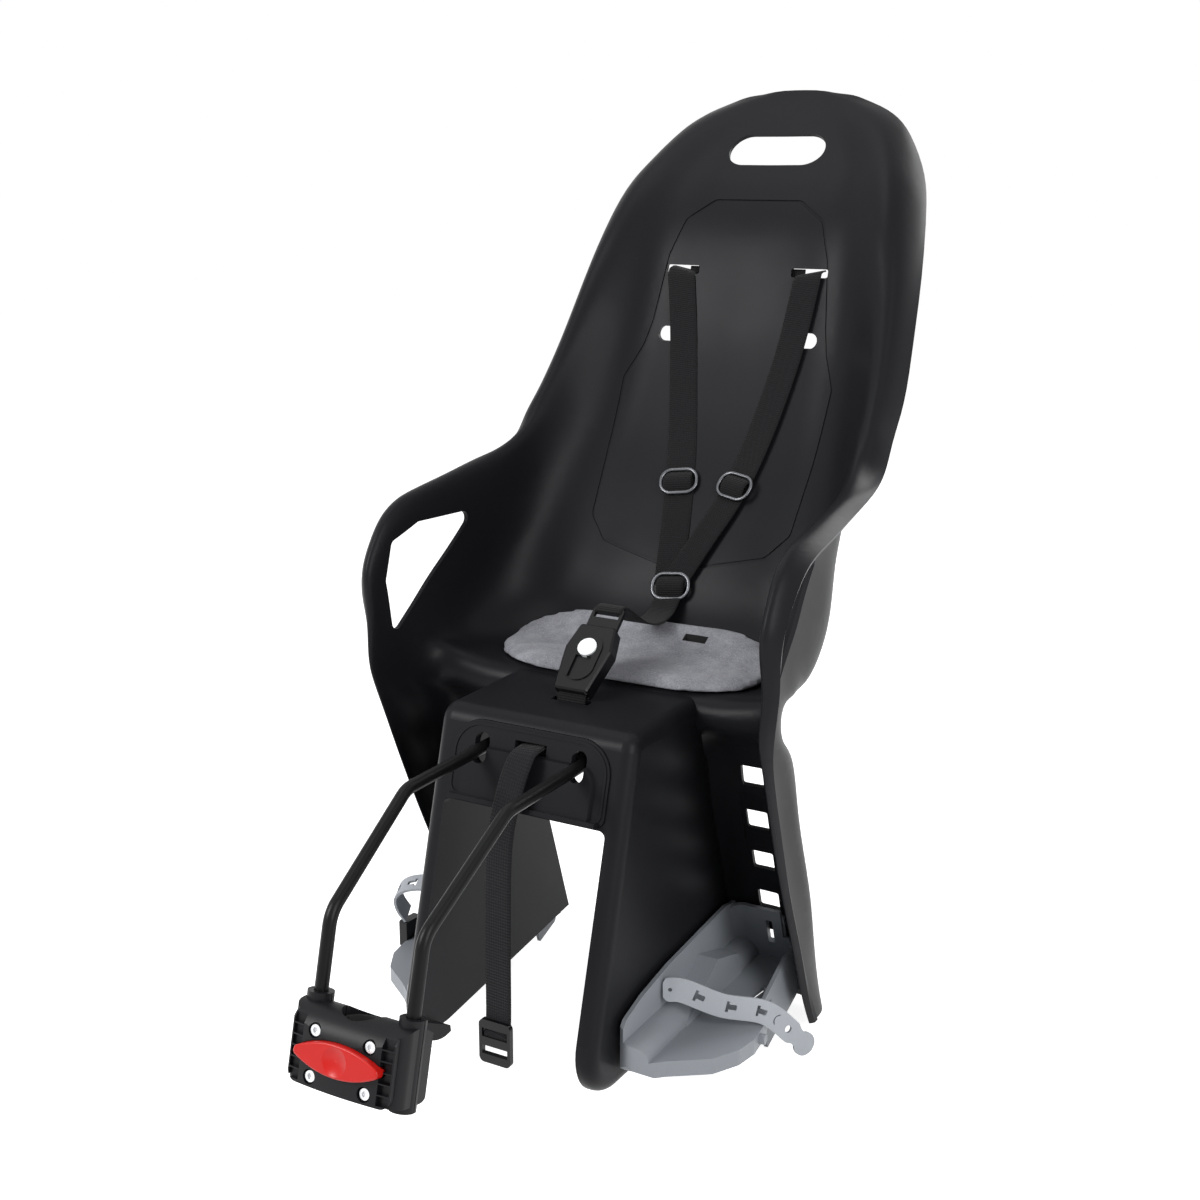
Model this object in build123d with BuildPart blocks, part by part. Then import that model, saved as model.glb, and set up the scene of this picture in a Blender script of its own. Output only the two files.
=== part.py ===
"""Child bike seat on a frame-mounted carrier. Millimetres, +Z up, the seat faces -Y.

The origin is the middle of the seat-tube bore in the clamp.
"""
import os
from math import atan2, cos, radians, sin, tan

from build123d import *

os.makedirs("parts", exist_ok=True)

# Clamp block, in its own frame: z up the seat tube, y to the rear
TUBE_LEAN = 15.0
TUBE_RADIUS = 14.3
PAD_THICKNESS = 2.6
PAD_GAP = 0.1
PAD_TOP = 21.0
BLOCK_HALF_WIDTH = 50.0
BLOCK_BOTTOM = -27.0
BLOCK_TOP = 29.0
BLOCK_DOME = 22.0
BLOCK_FALL = 24.0
BLOCK_SPLIT = 0.4
FRONT_DEPTH = 19.3
FRONT_CORNER = 9.0
COVER_HALF_WIDTH = 45.0
COVER_EDGE = 23.0
COVER_CROWN = 26.5
REAR_SIDE = 14.0
REAR_CROWN = 39.0
BLOCK_ROUND = 4.0
BLOCK_CORNER = 8.0
COLLAR_RADIUS = 10.0
COLLAR_TOP = 34.0
COLLAR_BOTTOM = -32.0
SCREW_X = 24.0
SCREW_HIGH = 13.3
SCREW_LOW = -19.9
SCREW_RADIUS = 2.5
SCREW_HEAD_RADIUS = 4.2
SCREW_HEAD_HEIGHT = 3.0
SCREW_HEAD_FACE = 24.0
SCREW_KEY_RADIUS = 2.4
SCREW_RECESS = 1.3
NUT_ACROSS = 8.0
NUT_HEIGHT = 4.0
NUT_SEAT = 17.0
RIB_COUNT = 6
RIB_PITCH = 8.0
RIB_SIZE = (9.5, 7.0)
RIB_X = 39.0
RIB_MIDDLE = -1.5
RIB_DEPTH = 2.4

# Release button and the two latches that it drives
BUTTON_Z = -2.0
BUTTON_LENGTH = 74.0
BUTTON_HEIGHT = 24.0
BUTTON_REAR = -23.6
BUTTON_FRONT = -31.0
BUTTON_TIP_ROUND = 4.0
BUTTON_ROUND = 1.6
BUTTON_FIT = 0.4
BUTTON_DISH_RADIUS = 24.0
BUTTON_DISH_DEPTH = 2.4
BUTTON_TRAVEL = 4.0
LATCH_HEIGHT = 8.0
LATCH_INNER = 26.0
LATCH_TIP = 38.0
LATCH_SHOULDER_X = 35.4
LATCH_FIT = 1.0
LATCH_ROOM_INNER = 22.7
LATCH_ROOM_OUTER = 39.5
LATCH_BACK = -0.8
LATCH_SHOULDER = -5.4
LATCH_FRONT = -14.0
LATCH_RAMP_X = 30.2
PRONG_TIP = -10.7
PRONG_OUTER = 34.5
PRONG_HEIGHT = 4.0
PRONG_FIT = 0.4

# Carrier rod
ROD_DIAMETER = 10.5
ROD_BLOCK_X = 41.0
ROD_SEAT_X = 46.0
ROD_FOOT = -24.0
ROD_LOW_BEND = 91.0
ROD_HIGH_BEND_Y = 126.0
ROD_Z = 147.0
ROD_REAR_Y = 396.0
ROD_BEND = 24.0

# General fits
SLIDE_FIT = 0.3
SCREW_FIT = 0.3
NUT_FIT = 0.2

# Shell skin stations from the head to the foot: centre y, centre z, tilt of the section plane in
# degrees, then (x, reach) of the flat's edge, knee, wall, crest and rim. Reach runs forward.
STATIONS = [
    (751, 682, 60, (14, -0.3), (24, -1.2), (32, -2.5), (38, -4.0), (44, -5.5)),
    (737, 666, 0, (36, 0), (54, 1), (68, 0), (78, -4), (86, -11)),
    (719, 647, 0, (54, 0), (78, 4), (96, 5), (108, -1), (116, -17)),
    (700, 626, 0, (70, 0), (95, 7), (112, 10), (124, 2), (133, -23)),
    (676, 600, 0, (82, 0), (106, 9), (125, 14), (139, 5), (149.5, -27)),
    (648, 560, 0, (88, 0), (115, 10), (136, 18), (151, 9), (162.5, -26)),
    (630, 512, 0, (95, 0), (124, 13), (146, 25), (161, 18), (172.5, -10)),
    (611, 450, 0, (100, 0), (132, 18), (154, 38), (169, 36), (181, 12)),
    (588, 400, 0, (103, 0), (137, 22), (159, 49), (174, 52), (186.5, 26)),
    (573, 372, 0, (105, 0), (140, 24), (161, 58), (176, 64), (188, 38)),
    (559, 349, 8, (106, 0), (144, 25), (162, 56), (178, 64), (190, 42)),
    (542, 324, 17, (107, 0), (148, 25), (164, 58), (181, 84), (194, 62)),
    (515, 284, 27, (108, 0), (154, 25), (166, 70), (184, 122), (197, 104)),
    (490, 245, 32, (110, 0), (157, 24), (169, 95), (188, 165), (201, 148)),
    (467, 208, 35, (112, 0), (160, 23), (172, 112), (190, 199), (202, 182)),
    (438, 187, 35, (113, 0), (162, 22), (176, 110), (191, 195), (201, 178)),
    (398, 178, 32, (114, 0), (163, 20), (178, 88), (191, 160), (199, 144)),
    (354, 175, 27, (118, 0), (166, 15), (180, 56), (190, 98), (196, 82)),
    (346, 164, 19, (126, 0), (170, 11), (180, 44), (188, 86), (194, 70)),
    (358.5, 144, 13, (142, 0), (173, 8), (180, 38), (187, 91), (191, 76)),
    (377.1, 90, 4, (154, 0), (174, 7), (180, 34), (185, 81), (188, 67)),
    (404, 12, 2, (155, 0), (174, 7), (179, 32), (183, 73), (186, 60)),
    (425.4, -50, 1, (155, 0), (173, 7), (178, 30), (182, 64), (185, 51)),
    (444.4, -105, 0, (155, 0), (173, 7), (178, 28), (181, 56), (184, 45)),
    (453, -130, 0, (155, 0), (173, 7), (178, 27), (181, 50), (184, 40)),
]
WALL = 4.0
FLAT_MID = 0.6
SKIN_ROWS = 44
SKIN_COLUMNS = 21

# Openings in the shell
HANDLE_Y = 696.0
HANDLE_Z = 627.0
HANDLE_LEAN = 40.0
HANDLE_SIZE = (100.0, 40.0)
SLOT_X = 66.0
UPPER_SLOT_Z = 512.0
UPPER_SLOT_SIZE = (36.0, 8.0)
LOWER_SLOT_Z = 451.0
LOWER_SLOT_SIZE = (34.0, 14.0)
ARM_HOLE = [(412, 303), (297, 207), (286, 260), (296, 293), (331, 305)]
ARM_HOLE_ROUND = 7.0
LADDER_X = 134.0
LADDER_SLOT = (20.0, 20.0)
LADDER_PITCH = 46.5
LADDER_COUNT = 5
LADDER_TOP = 100.5
LADDER_TRACK_WIDTH = 28.0
LADDER_TRACK_DEPTH = 1.5

# Wheel arch between the legs and its front face
ARCH_HALF_WIDTH = 93.0
ARCH_TOP_FRONT = (241.0, 176.0)
ARCH_TOE = (173.0, -62.0)
ARCH_TOE_MIDDLE = (179.0, -98.0)
ARCH_SOLE_FRONT = (213.0, -117.0)
ARCH_SOLE_REAR = (441.0, -92.0)
LEG_TRIM = (126.0, -92.0)
ARCH_TOP_ROUND = 16.0
ARCH_SIDE_ROUND = 12.0
ARCH_FACE_WALL = 7.0
ARCH_MOUTH_HALF = 77.0
ARCH_MOUTH_TOP = -77.0
PAN_LINK_Y = 358.0

# Front plate in the arch face: size, then middle below the arch's top edge
PLATE_SIZE = (150.0, 68.0)
PLATE_MIDDLE = -41.0
PLATE_RECESS = 3.0
PLATE_BASE = 4.5
PLATE_RAISE = 3.5
PLATE_BEAD_INSET = 2.5
PLATE_BEAD = (2.2, 0.9)
PLATE_PANEL = (126.0, 47.0)
PLATE_PANEL_ROUND = 14.0
PLATE_LEDGE = (140.0, 4.0)
PLATE_LEDGE_PROUD = 3.0
PLATE_ROUND = 28.0
PLATE_FOOT_ROUND = 8.0
ROD_SLOT = (26.0, 14.0)
STRAP_SLOT = (30.0, 9.0)
STRAP_SLOT_UP = 18.0

# Bracket that carries the seat on the rods
BRACKET_HALF_WIDTH = 62.0
BRACKET_FRONT = 262.0
BRACKET_REAR = 338.0
BRACKET_BOTTOM = 132.0
BRACKET_BOLT_X = 32.0
BRACKET_WINDOW = (48.0, 42.0)
BRACKET_BOLT_INSET = 16.0
BRACKET_ROUND = 6.0
BRACKET_SPLIT = 0.4
BOLT_RADIUS = 3.0
BOLT_HEAD_RADIUS = 5.5
BOLT_HEAD_HEIGHT = 4.0
BOLT_REACH = 30.0

# Footrest, drawn for the side at +X: a deck with a skirt, a wall along the arch and a heel cup
FOOT_CLEARANCE = 4.5
FOOT_INNER = ARCH_HALF_WIDTH + FOOT_CLEARANCE
FOOT_OUTER = 163.0
FOOT_BOTTOM = -102.0
FOOT_DECK = -88.0
FOOT_TOP = -20.0
FOOT_WALL = 3.5
FOOT_COVE = 18.0
FOOT_REAR = 446.0
FOOT_PLAN = [
    (FOOT_INNER, 208),
    (FOOT_INNER + 8.5, 204),
    (FOOT_INNER + 32.5, 226),
    (FOOT_OUTER - 2, 248),
    (FOOT_OUTER + 11, 271),
    (FOOT_OUTER + 15, 293),
    (FOOT_OUTER + 12, 322),
]
FOOT_PLAN_REAR = [(FOOT_OUTER, 362), (FOOT_OUTER, 428), (FOOT_OUTER - 15, FOOT_REAR), (FOOT_INNER, FOOT_REAR)]
FOOT_PLAN_ROUND = 10.0
FOOT_INNER_SIDE = [(201, -64), (212, -52), (240, -44), (288, -37), (399, -30), (414, -33)]
FOOT_TOE_CUT = [(199, -78), (208, -94), (222, -104)]
FOOT_OUTER_SIDE = [(463, -60), (392, -62), (336, -87), (320, -88)]
OUTER_WALL_REACH = 92.0
HEEL_TOP = -32.0
HEEL_TOP_X = FOOT_OUTER - 17
HEEL_CORNER_X = FOOT_OUTER - 11
HEEL_ROUND = 14.0
HEEL_GAP = 1.0
HEEL_SLOT = (6.0, 26.0)
HEEL_SLOT_X = LADDER_X
HEEL_SLOT_UP = -72.0
DECK_SLOT = (27.0, 4.0)
DECK_SLOT_PLACE = (FOOT_OUTER - 14.7, 364.7)
DECK_SLOT_TURN = 82.0
TONGUE_SIZE = (27.0, 62.0)
TONGUE_UP = -84.0
GUSSET_SIDE = [(282, -88), (342, -52), (386, -66), (394, -88)]
GUSSET_REACH = 22.5

# Foot straps: the open one hangs at +X, the closed one loops over the far foot at -X
FOOT_STRAP_OPEN = [
    (FOOT_INNER + 6.5, 270, -52),
    (FOOT_INNER + 21.5, 277, -52),
    (FOOT_INNER + 49.5, 294, -66),
    (FOOT_OUTER + 14, 317, -76),
    (FOOT_OUTER + 31, 338, -101),
    (FOOT_OUTER + 42, 352, -121),
]
FOOT_STRAP_ACROSS = (0.15, 0.35, 0.93)
FOOT_STRAP_CLOSED = [
    (-FOOT_INNER - 9.5, 271, -56),
    (-FOOT_INNER - 14.5, 278, -40),
    (-FOOT_INNER - 32.5, 290, -27),
    (-FOOT_INNER - 52.5, 297, -25),
    (-FOOT_OUTER - 7, 295, -29),
    (-FOOT_OUTER - 19, 294, -38),
    (-FOOT_OUTER - 21.5, 299, -52),
    (-FOOT_OUTER - 18.5, 306, -65.5),
]
FOOT_STRAP_CLOSED_ACROSS = (-0.3, 0.9, 0.3)
FOOT_STRAP_WIDTH = 20.0
FOOT_STRAP_THICKNESS = 2.4
STRAP_STEPS = 12
CLIP_SIZE = (22.0, 26.0)
CLIP_DEPTH = 9.0
CLIP_MIDDLE = -83.0
CLIP_ROUND = 2.0
STUD_MIDDLE = -95.0
STUD_RADIUS = 4.5
STUD_LENGTH = 5.0

# Harness
WEB_WIDTH = 30.0
WEB_THICKNESS = 1.6
WEB_LIFT = 1.0
WEB_OVERLAP = 2.6
WEB_STEPS = 16
WEB_SLIDER_Z = 324.0
WEB_JOIN_Z = 232.0
LEFT_WEB_X = (66.0, 40.0, 2.0)
RIGHT_WEB_X = (-66.0, -21.0, -3.0)
SLIDER_SIZE = (40.0, 33.0)
SLIDER_WINDOW = (31.0, 8.0)
SLIDER_THICKNESS = 4.0
SLIDER_ROUND = 9.0
SLIDER_STEPS = 11
WAIST_PATH = [
    (2, 462, 228),
    (4, 444, 219),
    (4, 415, 221),
    (2, 388, 238),
    (0, 370, 246.5),
    (0, 362.6, 240.8),
]
REAR_STRAP_PATH = [(-60, 633.6, 508), (0, 633.6, 508), (60, 633.6, 508)]
REAR_STRAP_ACROSS = (0.0, 0.29, 0.957)

# Buckle: its face looks up and forward, and its length runs up and back
BUCKLE_PLACE = (0.0, 332.0, 209.0)
BUCKLE_RISE = 41.0
BUCKLE_BASE = -42.0
BUCKLE_HEAD = 24.0
BUCKLE_BASE_WIDTH = 32.0
BUCKLE_WIDTH = 44.0
BUCKLE_HEAD_WIDTH = 34.0
BUCKLE_DEPTH = 15.0
TONGUE_WIDTH = 30.0
TONGUE_THICKNESS = 4.0
TONGUE_TOP = 46.0
TONGUE_DEPTH = 22.0
TONGUE_WINDOW = (24.0, 5.0)
BUCKLE_ROUND = 3.0
BUCKLE_EDGE = 1.5
BUCKLE_COLLAR = (27.0, 46.0)
BUCKLE_COLLAR_RAISE = 1.2
BUCKLE_CHANNEL = (15.0, 22.0)
BUCKLE_CHANNEL_DEPTH = 2.2
BUCKLE_BUTTON_RADIUS = 8.5
BUCKLE_BUTTON_PROUD = 1.5
BUCKLE_BUTTON_LENGTH = 4.4
CROTCH_Y = 299.0
CROTCH_SLOT = (36.0, 9.0)
CROTCH_WEB = 30.0
CROTCH_GRIP = 10.0
CROTCH_PATH = [(0, 304, 186), (0, 300, 182), (0, 298, 176), (0, 298, 164)]
ANCHOR_SIZE = (44.0, 24.0, 3.0)

# Safety strap and its ladder lock
SAFETY_PATH = [
    (0, 259, 153.6),
    (0, 243, 153.6),
    (0, 225, 153.4),
    (-1, 216, 147),
    (-5, 209, 123),
    (-12, 202, 78),
    (-15, 205, 0),
    (-20, 210, -90),
]
SAFETY_WIDTH = 25.0
SAFETY_THICKNESS = 3.2
LOCK_SIZE = (31.0, 40.0)
LOCK_THICKNESS = 5.0
LOCK_WINDOW = (25.0, 8.0)
LOCK_PLACE = (-21.0, 209.2, -104.0)

# Cushion, between two heights of the centre line of the skin
CUSHION_REACH = 132.0
CUSHION_FRONT = 175.3
CUSHION_BACK = 204.0
CUSHION_LIFT = 1.2
CUSHION_THICKNESS = 8.0
CUSHION_BLUNT = 2.6
CUSHION_ROWS = 13
PATCH_INSET = 0.4
PATCH_COLUMNS = 13

# Groove round the back panel, drawn for the side at +X from the top down
PANEL_OUTLINE = [
    (45, 578), (72, 560), (84, 525), (92, 462), (97, 440), (110, 410), (108, 345), (104, 285), (84, 264),
]
PANEL_FOOT = 246.0
PANEL_ROUND = 12.0
PANEL_ROWS = 15
PANEL_MARGIN = 22.0
PANEL_REACH = 135.0
PANEL_BLUNT = 40.0
GROOVE_WIDTH = 2.4
GROOVE_DEPTH = 1.0


def placed(station, point):
    """The 3D place of a section point of one station."""
    y, z, tilt = station[:3]
    turn = radians(tilt)
    return Vector(point[0], y - point[1] * cos(turn), z + point[1] * sin(turn))


def station_points(station):
    """Half a section, from the centre to the rim."""
    flat = station[3]
    half = [(0, 0), (FLAT_MID * flat[0], FLAT_MID * flat[1])] + list(station[3:])
    return [placed(station, point) for point in half]


def station_runs(rows):
    """Mean distance along the rows, from 0 to 1."""
    runs = [0.0]
    for near, far in zip(rows, rows[1:]):
        step = sum((b - a).length for a, b in zip(near, far)) / len(near)
        runs.append(runs[-1] + step)
    return [run / runs[-1] for run in runs]


STATION_ROWS = [station_points(station) for station in STATIONS]
STATION_RUNS = station_runs(STATION_ROWS)
GUIDES = [
    Edge.make_spline([row[index] for row in STATION_ROWS], parameters=STATION_RUNS)
    for index in range(len(STATION_ROWS[0]))
]


def run_at_height(z):
    """The run at which the centre line of the skin passes a height."""
    low = 0.0
    high = 1.0
    while high - low > 1e-6:
        middle = (low + high) / 2
        if GUIDES[0].position_at(middle).Z > z:
            low = middle
        else:
            high = middle
    return low


def section(run):
    """The whole cross-section of the skin at one run."""
    half = [guide.position_at(run) for guide in GUIDES]
    mirrored = [Vector(-point.X, point.Y, point.Z) for point in reversed(half[1:])]
    return Edge.make_spline(mirrored + half)


def evenly(edge, count):
    """Points at even spacing along an edge."""
    return [edge.position_at(index / (count - 1)) for index in range(count)]


def lifted(grid, lift):
    """A grid of points moved along its own normals, towards the rider."""
    last_row = len(grid) - 1
    last_column = len(grid[0]) - 1
    moved = []
    for i in range(last_row + 1):
        row = []
        for k in range(last_column + 1):
            across = grid[i][min(k + 1, last_column)] - grid[i][max(k - 1, 0)]
            along = grid[min(i + 1, last_row)][k] - grid[max(i - 1, 0)][k]
            row.append(grid[i][k] + along.cross(across).normalized() * lift)
        moved.append(row)
    return moved


def skin_patch(top, bottom, reach, blunt, rows):
    """Points on the skin between two heights, within a reach that narrows at both ends as blunt falls."""
    start = run_at_height(top)
    length = run_at_height(bottom) - start
    grid = []
    for row in range(rows):
        part = (row + PATCH_INSET) / (rows - 1 + 2 * PATCH_INSET)
        across = section(start + length * row / (rows - 1))
        share = reach * (1 - abs(2 * part - 1) ** blunt) ** (1 / blunt) / across.length
        places = [2 * k / (PATCH_COLUMNS - 1) - 1 for k in range(PATCH_COLUMNS)]
        grid.append([across.position_at(0.5 + share * place) for place in places])
    return grid


def grid_face(grid):
    """One smooth face through a grid of points."""
    count = len(grid[0])
    even = [index / (count - 1) for index in range(count)]
    rows = [Wire([Edge.make_spline(row, parameters=even)]) for row in grid]
    return Shell.make_loft(rows).faces()[0]


def sheet(near, far):
    """The closed solid between two grids of points."""
    near_face = grid_face(near)
    far_face = grid_face(far)
    faces = [near_face, far_face]
    for edge in near_face.edges():
        middle = edge.position_at(0.5)
        twin = min(far_face.edges(), key=lambda other: (other.position_at(0.5) - middle).length)
        faces.append(Face.make_surface_from_curves(edge, twin))
    return Solid(Shell(faces))


def ribbon(path, across, width, thickness):
    """A strap: a band of even width along a path, thick to one side."""
    half = Vector(*across).normalized() * (width / 2)
    line = Edge.make_spline([Vector(*point) for point in path])
    near = []
    far = []
    for step in range(STRAP_STEPS + 1):
        point = line.position_at(step / STRAP_STEPS)
        up = half.cross(line.tangent_at(step / STRAP_STEPS)).normalized() * thickness
        near.append([point - half, point, point + half])
        far.append([place + up for place in near[-1]])
    return sheet(near, far)


def web_rows(xs, overlap):
    """Places along a shoulder strap: point on the back rest, outward normal and lift."""
    rows = []
    for step in range(WEB_STEPS + 1):
        part = step / WEB_STEPS
        z = UPPER_SLOT_Z + (WEB_JOIN_Z - UPPER_SLOT_Z) * part
        middle = GUIDES[0].position_at(run_at_height(z))
        down = GUIDES[0].tangent_at(run_at_height(z))
        if z > WEB_SLIDER_Z:
            share = (UPPER_SLOT_Z - z) / (UPPER_SLOT_Z - WEB_SLIDER_Z)
            x = xs[0] + (xs[1] - xs[0]) * share
        else:
            share = (WEB_SLIDER_Z - z) / (WEB_SLIDER_Z - WEB_JOIN_Z)
            x = xs[1] + (xs[2] - xs[1]) * share
        normal = Vector(0, down.Z, -down.Y)
        rows.append((Vector(x, middle.Y, middle.Z), normal, WEB_LIFT + overlap * part**2))
    return rows


def web_across(rows, step):
    """Width direction of a shoulder strap at one of its rows."""
    along = rows[min(step + 1, len(rows) - 1)][0] - rows[max(step - 1, 0)][0]
    return rows[step][1].cross(along).normalized()


def web(rows):
    """A shoulder strap that lies on the back rest."""
    near = []
    far = []
    for step, (point, normal, lift) in enumerate(rows):
        half = web_across(rows, step) * (WEB_WIDTH / 2)
        middle = point + normal * lift
        near.append([middle - half, middle, middle + half])
        far.append([place + normal * WEB_THICKNESS for place in near[-1]])
    return sheet(near, far)


def slider(rows, step):
    """A three-bar slider on a shoulder strap."""
    point, normal, lift = rows[step]
    seat = point + normal * (lift + WEB_THICKNESS + SLIDE_FIT)
    place = Plane(seat, x_dir=web_across(rows, step), z_dir=normal)
    with BuildPart() as frame:
        with BuildSketch(place):
            RectangleRounded(*SLIDER_SIZE, SLIDER_ROUND)
            with Locations((0, SLIDER_SIZE[1] / 5), (0, -SLIDER_SIZE[1] / 5)):
                Rectangle(*SLIDER_WINDOW, mode=Mode.SUBTRACT)
        extrude(amount=SLIDER_THICKNESS)
    return frame.part


def plate_outline(grow):
    """Outline of the front plate, grown all round."""
    with BuildSketch() as outline:
        with Locations((0, PLATE_MIDDLE)):
            Rectangle(PLATE_SIZE[0] + 2 * grow, PLATE_SIZE[1] + 2 * grow)
        fillet(outline.vertices().group_by(Axis.Y)[-1], radius=PLATE_ROUND + grow)
        fillet(outline.vertices().group_by(Axis.Y)[0], radius=PLATE_FOOT_ROUND)
    return outline.sketch


def lens_outline(grow):
    """Outline of the release button, grown all round."""
    reach = BUTTON_LENGTH / 2 - BUTTON_TIP_ROUND
    rise = BUTTON_HEIGHT / 2 - BUTTON_TIP_ROUND
    with BuildSketch() as lens:
        with BuildLine():
            ThreePointArc((-reach, BUTTON_Z), (0, BUTTON_Z + rise), (reach, BUTTON_Z))
            ThreePointArc((reach, BUTTON_Z), (0, BUTTON_Z - rise), (-reach, BUTTON_Z))
        make_face()
        offset(amount=BUTTON_TIP_ROUND + grow)
    return lens.sketch


# Shell skin
skin_grid = [evenly(section(row / (SKIN_ROWS - 1)), SKIN_COLUMNS) for row in range(SKIN_ROWS)]
skin = sheet(skin_grid, lifted(skin_grid, -WALL))

# Planes that carry the pieces
arch_lean = atan2(ARCH_TOP_FRONT[0] - ARCH_TOE[0], ARCH_TOP_FRONT[1] - ARCH_TOE[1])
FACE = Plane(
    origin=(0, ARCH_TOP_FRONT[0], ARCH_TOP_FRONT[1]),
    x_dir=(1, 0, 0),
    z_dir=(0, -cos(arch_lean), sin(arch_lean)),
)
ladder_lean = atan2(STATIONS[23][0] - STATIONS[20][0], STATIONS[20][1] - STATIONS[23][1])
LADDER = Plane(
    origin=(0, STATIONS[21][0], STATIONS[21][1]),
    x_dir=(1, 0, 0),
    z_dir=(0, -cos(ladder_lean), -sin(ladder_lean)),
)
handle_lean = radians(HANDLE_LEAN)
HANDLE = Plane(
    origin=(0, HANDLE_Y, HANDLE_Z),
    x_dir=(1, 0, 0),
    z_dir=(0, -cos(handle_lean), sin(handle_lean)),
)
tube_lean = radians(TUBE_LEAN)
CLAMP = Plane(origin=(0, 0, 0), x_dir=(1, 0, 0), z_dir=(0, sin(tube_lean), cos(tube_lean)))
CLAMP_FACE = Plane(origin=(0, 0, 0), x_dir=(1, 0, 0), z_dir=(0, -cos(tube_lean), sin(tube_lean)))
CLAMP_SIDE = Plane(origin=(0, 0, 0), x_dir=CLAMP.y_dir, z_dir=(1, 0, 0))
buckle_rise = radians(BUCKLE_RISE)
BUCKLE = Plane(origin=BUCKLE_PLACE, x_dir=(1, 0, 0), z_dir=(0, -sin(buckle_rise), cos(buckle_rise)))

# Wheel arch: the hump between the legs, its side walls and its front face
face_slope = (ARCH_TOP_FRONT[0] - ARCH_TOE[0]) / (ARCH_TOP_FRONT[1] - ARCH_TOE[1])
face_step = ARCH_FACE_WALL / cos(arch_lean)
face_down = (ARCH_TOE[0] - ARCH_TOP_FRONT[0], ARCH_TOE[1] - ARCH_TOP_FRONT[1])
pan_under = ARCH_TOP_FRONT[1] - WALL
with BuildPart() as wheel_arch:
    with BuildSketch(Plane.YZ) as arch_side:
        with BuildLine():
            Polyline(ARCH_TOP_FRONT, ARCH_TOE)
            TangentArc(ARCH_TOE, ARCH_SOLE_FRONT, tangent=face_down)
            Polyline(
                ARCH_SOLE_FRONT,
                ARCH_SOLE_REAR,
                (STATIONS[20][0] + 1, STATIONS[20][1]),
                (PAN_LINK_Y, STATIONS[19][1]),
                (PAN_LINK_Y, ARCH_TOP_FRONT[1]),
                ARCH_TOP_FRONT,
            )
        make_face()
        fillet(arch_side.vertices().sort_by_distance(ARCH_TOP_FRONT)[0], radius=ARCH_TOP_ROUND)
    extrude(amount=ARCH_HALF_WIDTH, both=True)
    for side in (1, -1):
        front = wheel_arch.edges().filter_by(GeomType.LINE).filter_by(
            lambda edge: side * edge.center().X > ARCH_HALF_WIDTH - 1 and edge.center().Y < ARCH_TOP_FRONT[0]
        )
        fillet(front, radius=ARCH_SIDE_ROUND)
    with BuildSketch(Plane.YZ) as arch_inside:
        with BuildLine():
            Polyline(
                (ARCH_TOP_FRONT[0] - WALL * face_slope + face_step, pan_under),
                (ARCH_TOE[0] + face_step, ARCH_TOE[1]),
                (ARCH_TOE_MIDDLE[0] + face_step, ARCH_TOE_MIDDLE[1] + ARCH_FACE_WALL),
                (ARCH_SOLE_FRONT[0] + face_step, ARCH_SOLE_FRONT[1] + ARCH_FACE_WALL),
                (ARCH_SOLE_FRONT[0] + 2 * face_step, ARCH_SOLE_FRONT[1] - ARCH_FACE_WALL * 5),
                (ARCH_SOLE_REAR[0] + 50, ARCH_SOLE_FRONT[1] - ARCH_FACE_WALL * 5),
                (ARCH_SOLE_REAR[0] + 50, pan_under),
                close=True,
            )
        make_face()
    extrude(amount=ARCH_HALF_WIDTH - WALL, both=True, mode=Mode.SUBTRACT)
    with BuildSketch(FACE) as mouth:
        with Locations((0, ARCH_MOUTH_TOP - 150)):
            Rectangle(2 * ARCH_MOUTH_HALF, 300)
        fillet(mouth.vertices().group_by(Axis.Y)[-1], radius=6)
    extrude(amount=-ARCH_HALF_WIDTH, mode=Mode.SUBTRACT)

# Groove that outlines the back panel
panel_top = max(z for x, z in PANEL_OUTLINE) + PANEL_MARGIN
panel_grid = skin_patch(panel_top, PANEL_FOOT - PANEL_MARGIN, PANEL_REACH, PANEL_BLUNT, PANEL_ROWS)
panel_side = PANEL_OUTLINE + [(0, PANEL_FOOT)]
panel_mirror = [(-x, z) for x, z in reversed(PANEL_OUTLINE)]
with BuildPart() as panel_groove:
    add(sheet(lifted(panel_grid, -GROOVE_DEPTH), lifted(panel_grid, GROOVE_DEPTH)))
    with BuildSketch(Plane.XZ) as band:
        Polygon(*panel_side, *panel_mirror, align=None)
        fillet(band.vertices(), radius=PANEL_ROUND)
        offset(amount=-GROOVE_WIDTH, mode=Mode.SUBTRACT)
    extrude(amount=-STATIONS[0][0], mode=Mode.INTERSECT)

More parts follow.
